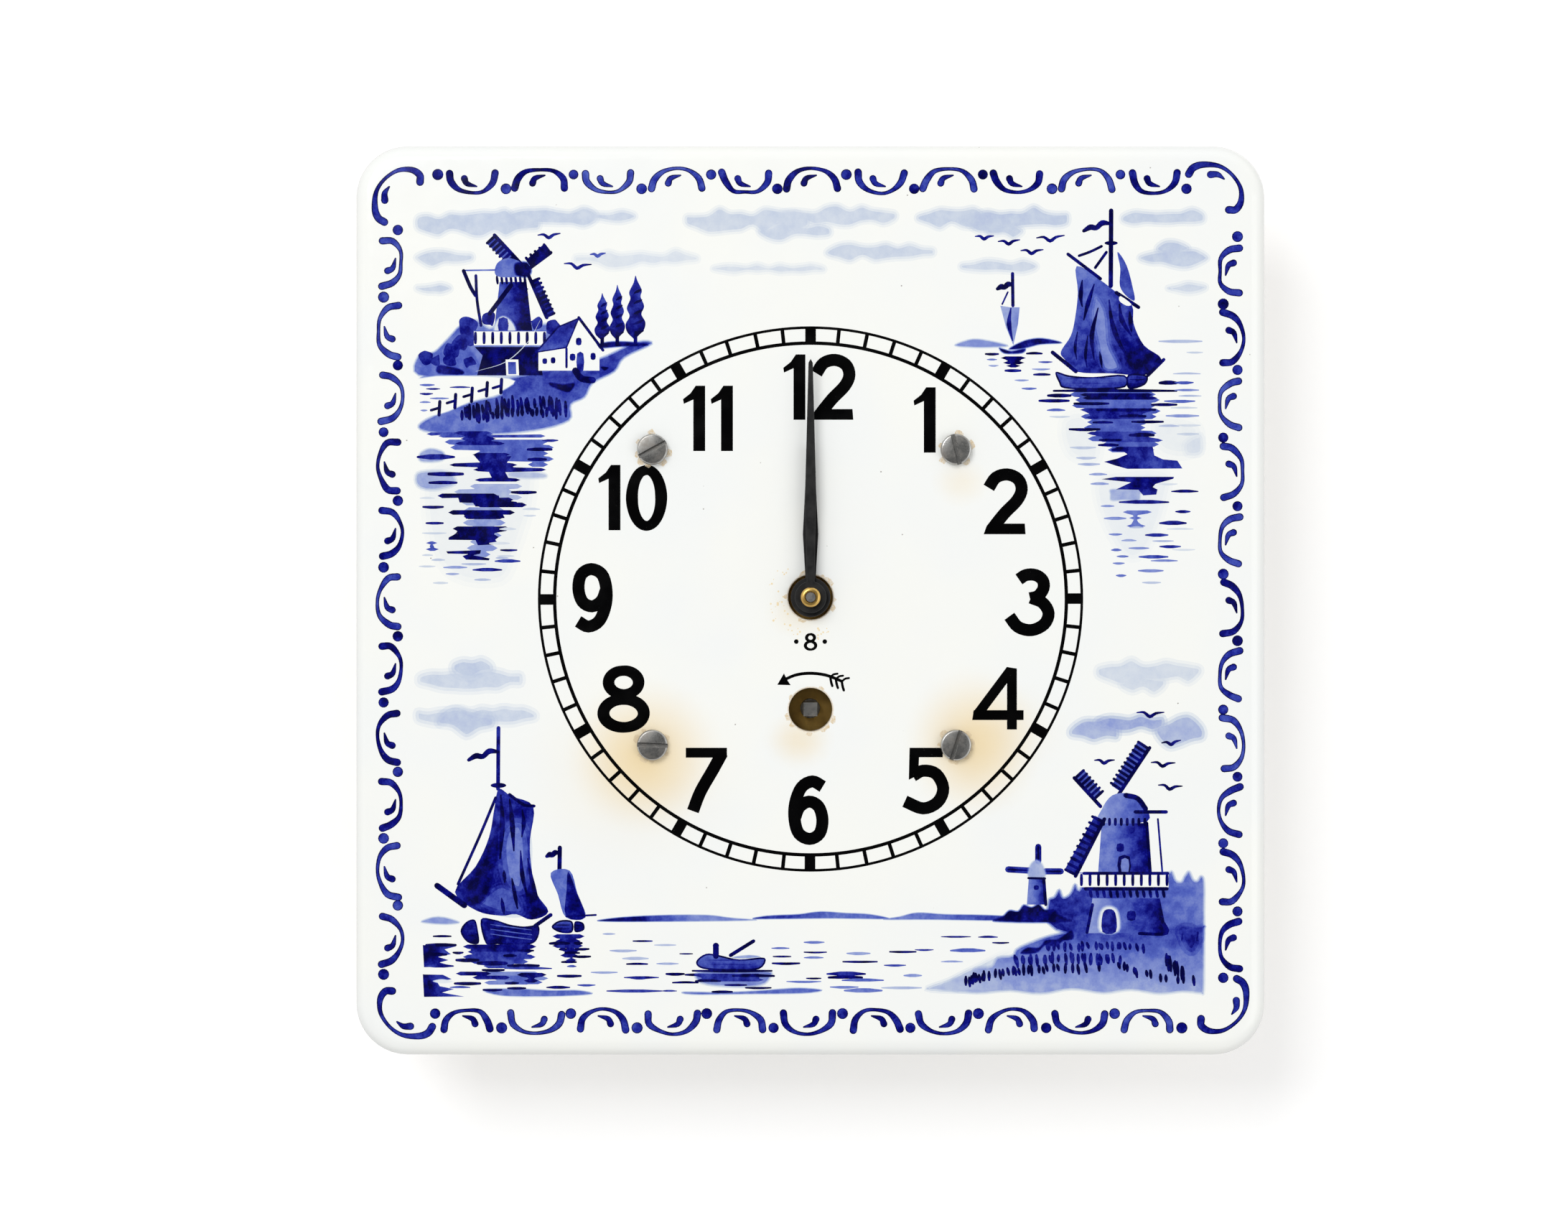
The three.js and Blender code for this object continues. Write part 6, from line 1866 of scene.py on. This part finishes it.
# %% The four slotted screws
(screw_left, _, SHANK_LOW), (screw_right, _, HEAD_HIGH) = extent("case_screw_1")
SCREW_RADIUS = 1.75
SCREW_TIP = 0.4
HEAD_RADIUS = (screw_right - screw_left) / 2
HEAD_LOW = PLATE_FRONT + 0.04
HEAD_BREAK = 0.1
HEAD_ROUND = 0.55
SLOT_HALF = 0.55
SLOT_DEPTH = 1
FIRST_TURN = 0.5
NEXT_TURN = 1.3
SAW_REACH = 8
saw_blade = oblong(-SAW_REACH, SAW_REACH, -SLOT_HALF, SLOT_HALF)
profile = [
    (0, SHANK_LOW), (SCREW_RADIUS - SCREW_TIP, SHANK_LOW), (SCREW_RADIUS, SHANK_LOW + SCREW_TIP),
    (SCREW_RADIUS, HEAD_LOW), (HEAD_RADIUS - HEAD_BREAK, HEAD_LOW),
    (HEAD_RADIUS, HEAD_LOW + HEAD_BREAK),
]
profile += rounding(HEAD_RADIUS - HEAD_ROUND, HEAD_HIGH - HEAD_ROUND, HEAD_ROUND, 0, 90)
profile += [(0, HEAD_HIGH + 0.02)]
for i, (x, y) in enumerate(SCREWS):
    blank = turned(profile, x, y, 56, closed=False)
    screw = piece(f"slotted_screw_{i + 1}", [blank], steel, "body", 40)
    slot = placed(saw_blade, x, y, turn=math.degrees(FIRST_TURN + NEXT_TURN * i))
    saw = flat_metal(slot, [], HEAD_HIGH - SLOT_DEPTH, HEAD_HIGH + SLOT_DEPTH, 0.02)
    cutter = piece(f"saw_{i + 1}", saw, steel, "body")
    sawn = screw.modifiers.new("slot", "BOOLEAN")
    sawn.operation = "DIFFERENCE"
    sawn.object = cutter
    sawn.solver = "EXACT"
    bpy.context.view_layer.update()
    shape = bpy.data.meshes.new_from_object(screw.evaluated_get(bpy.context.evaluated_depsgraph_get()))
    screw.modifiers.clear()
    screw.data = shape
    shape.set_sharp_from_angle(angle=math.radians(40))
    bpy.data.objects.remove(cutter)
    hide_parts(f"case_screw_{i + 1}")
print("each slot is", 2 * SLOT_HALF, "mm wide")

# %% [markdown]
# ## Hands
# The hands are slim batons stamped from thin steel and enamelled black, each on a round boss. The
# photograph shows the plate without them, so theirs is a common shape for such a dial: the hour hand
# ends inside the numerals and the minute hand reaches the ring. A subdivided box could be pulled into
# shape. An outline of an arc and a few straight flanks is what the stamping die cuts, and flat_metal
# turns it into sheet.

# %% Hour hand and minute hand
HAND_CHAMFER = 0.1


def hand_outline(length, boss, belly, tip):
    """An arc round the boss from flank to flank, then a baton widest at two fifths of its length."""
    start = math.degrees(math.asin(belly / 2 / boss))
    around = arc(0, 0, boss, boss, 90 + start, 450 - start, 44)
    side = [(belly / 2, boss * 0.98), (belly * 0.75, length * 0.42), (tip / 2, length - 1)]
    return np.array(around + side[1:] + [(0, length)] + [(-px, py) for px, py in reversed(side[1:])])


for name, belly, tip, hole in [("hour_hand", 2.6, 1.8, 2.45), ("minute_hand", 1.9, 1.1, 1.7)]:
    (_, foot, back), (_, length, front) = extent(name)
    outline = hand_outline(length, -foot, belly, tip)
    shape = flat_metal(outline, [circle(0, 0, hole, 32)], back, front, HAND_CHAMFER)
    made = piece(f"enamelled_{name}", shape, enamel, name.replace("hand", "group"), 30)
    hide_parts(name)

# %% [markdown]
# ## The nut on the arbor
# A small domed brass nut holds the minute hand. The CAD node has the right size but a faceted dome.
# Turning the same profile with more points, round its own bore, gives the soft highlight of a polished
# cap.

# %% The domed nut
(_, _, NUT_LOW), (NUT_RADIUS, _, NUT_TOP) = extent("hand_nut")
NUT_BORE = 1.3
NUT_DOME = 0.75
NUT_BREAK = 0.2
nut_profile = [
    (NUT_BORE, NUT_LOW), (NUT_RADIUS - NUT_BREAK, NUT_LOW), (NUT_RADIUS, NUT_LOW + NUT_BREAK),
    (NUT_RADIUS, NUT_TOP - NUT_DOME),
]
nut_profile += rounding(NUT_RADIUS - NUT_DOME, NUT_TOP - NUT_DOME, NUT_DOME, 0, 90)
nut_profile += [(NUT_BORE + NUT_BREAK, NUT_TOP), (NUT_BORE, NUT_TOP - NUT_BREAK)]
nut = piece("domed_nut", [turned(nut_profile, 0, 0, 64)], brass, "minute_group", 40)
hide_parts("hand_nut")

# %% [markdown]
# ## Room, light and camera
# The photograph was taken from straight above in soft daylight, on white. The clock hangs on a wall
# here, so the wall is the white ground. It could be lit until it is white, but then the plate would
# burn out too. Instead it glows a little for the camera alone, and the lamps stay at a level at which a
# colour looks as it was written. A wide lamp high on the left is the window, a weaker one fills the
# right, and a third stands behind. The wall is seen only from the front, so that the back of the clock
# can be looked at too.


# %% The wall
WALL_WHITE = 0.91
WALL_GLOW = 0.25


def wall_nodes():
    """Diffuse white plus a glow for camera rays, and clear where it is seen from behind."""
    made = bpy.data.materials.new("white_wall")
    made.use_nodes = True
    tree = made.node_tree
    tree.nodes.clear()
    lit = add(tree, "BsdfDiffuse", {"Color": light(WALL_WHITE, WALL_WHITE, WALL_WHITE)})
    glow = add(tree, "Emission", {"Color": (1, 1, 1, 1), "Strength": WALL_GLOW})
    seen = add(tree, "LightPath").outputs["Is Camera Ray"]
    nothing = add(tree, "Emission", {"Color": (0, 0, 0, 1), "Strength": 0.0})
    extra = add(tree, "MixShader", {0: seen, 1: nothing.outputs[0], 2: glow.outputs[0]})
    front = add(tree, "AddShader", {0: lit.outputs[0], 1: extra.outputs[0]})
    behind = add(tree, "NewGeometry").outputs["Backfacing"]
    clear = add(tree, "BsdfTransparent")
    whole = add(tree, "MixShader", {0: behind, 1: front.outputs[0], 2: clear.outputs[0]})
    tree.links.new(whole.outputs[0], add(tree, "OutputMaterial").inputs["Surface"])
    return made


WALL_HALF = 1.6
WALL_GAP = 0.0003
wall_mesh = bpy.data.meshes.new("wall")
wall_square = oblong(-WALL_HALF, WALL_HALF, -WALL_HALF, WALL_HALF)
wall_mesh.from_pydata([(x, WALL_GAP, z) for x, z in wall_square], [], [(0, 1, 2, 3)])
wall = shown("wall", wall_mesh)
wall_mesh.materials.append(wall_nodes())
wall.visible_shadow = False
print("the wall is", 2 * WALL_HALF, "m wide")

# %% [markdown]
# ## The light that comes from all round
# A world of plain white would wash out the glaze: every part of it would mirror white. So the world
# gives each kind of ray what it needs: 1 to the camera, which is white, less than that to matt
# surfaces, and to mirrors a room that is bright in front and dark behind the camera, so that curved
# metal shows dark edges.

# %% The world
AMBIENT = 0.645
BEHIND_CAMERA = 0.03
world = bpy.data.worlds.new("studio")
bpy.context.scene.world = world
world.use_nodes = True
sky = world.node_tree
sky.nodes.clear()
rays = add(sky, "LightPath").outputs
towards = add(sky, "SeparateXYZ", {0: add(sky, "TexCoord").outputs["Generated"]}).outputs[1]
around = stepped(sky, towards, -0.95, -0.4, BEHIND_CAMERA, 1.0)
mirror_rays = math_of(sky, "MAXIMUM", rays["Is Glossy Ray"], rays["Is Transmission Ray"])
in_mirrors = product(sky, mirror_rays, around)
strength = math_of(sky, "MAXIMUM", rays["Is Camera Ray"], in_mirrors)
strength = math_of(sky, "MAXIMUM", strength, BEHIND_CAMERA)
strength = math_of(sky, "MAXIMUM", strength, product(sky, rays["Is Diffuse Ray"], AMBIENT))
glow = add(sky, "Background", {"Color": (1, 1, 1, 1), "Strength": strength})
sky.links.new(glow.outputs[0], add(sky, "OutputWorld").inputs["Surface"])
print("matt surfaces get", AMBIENT, "of the world's light")

# %% The lamps
VIEW_X = -6.7
VIEW_Y = -1.96
CENTRE = Vector((VIEW_X, -PLATE_FRONT, VIEW_Y)) * MM
for name, place, power, size in [
    ("daylight", (-0.8, -1.87, 0.9), 21.5, 1.1),
    ("fill", (1.3, -1.5, -0.3), 8.0, 1.4),
    ("rear", (0.8, 1.8, 0.9), 16.0, 1.2),
]:
    lamp = bpy.data.lights.new(name, "AREA")
    lamp.energy = power
    lamp.size = size
    holder = shown(name, lamp)
    holder.location = place
    holder.rotation_euler = (CENTRE - Vector(place)).to_track_quat("-Z", "Y").to_euler()
    print(name, "lamp,", power, "W")

# %% [markdown]
# ## The camera
# The photograph shows the plate square on, with hardly any perspective. An orthographic camera would
# show none at all, so this one is a plain camera with a long lens. Its focal length follows from two
# lengths: how far away it stands and how wide the picture is there.

# %% The camera
FRAME_WIDTH = 0.3959
DISTANCE = 1.1
SENSOR = 36
view = bpy.data.cameras.new("camera")
view.sensor_width = SENSOR
view.lens = SENSOR * DISTANCE / FRAME_WIDTH
view.clip_start = 0.01
camera = shown("camera", view)
camera.location = CENTRE - Vector((0, DISTANCE, 0))
camera.rotation_euler = (math.pi / 2, 0, 0)
bpy.context.scene.camera = camera
bpy.context.scene.view_settings.view_transform = "Standard"
print("the lens is", round(view.lens), "mm")
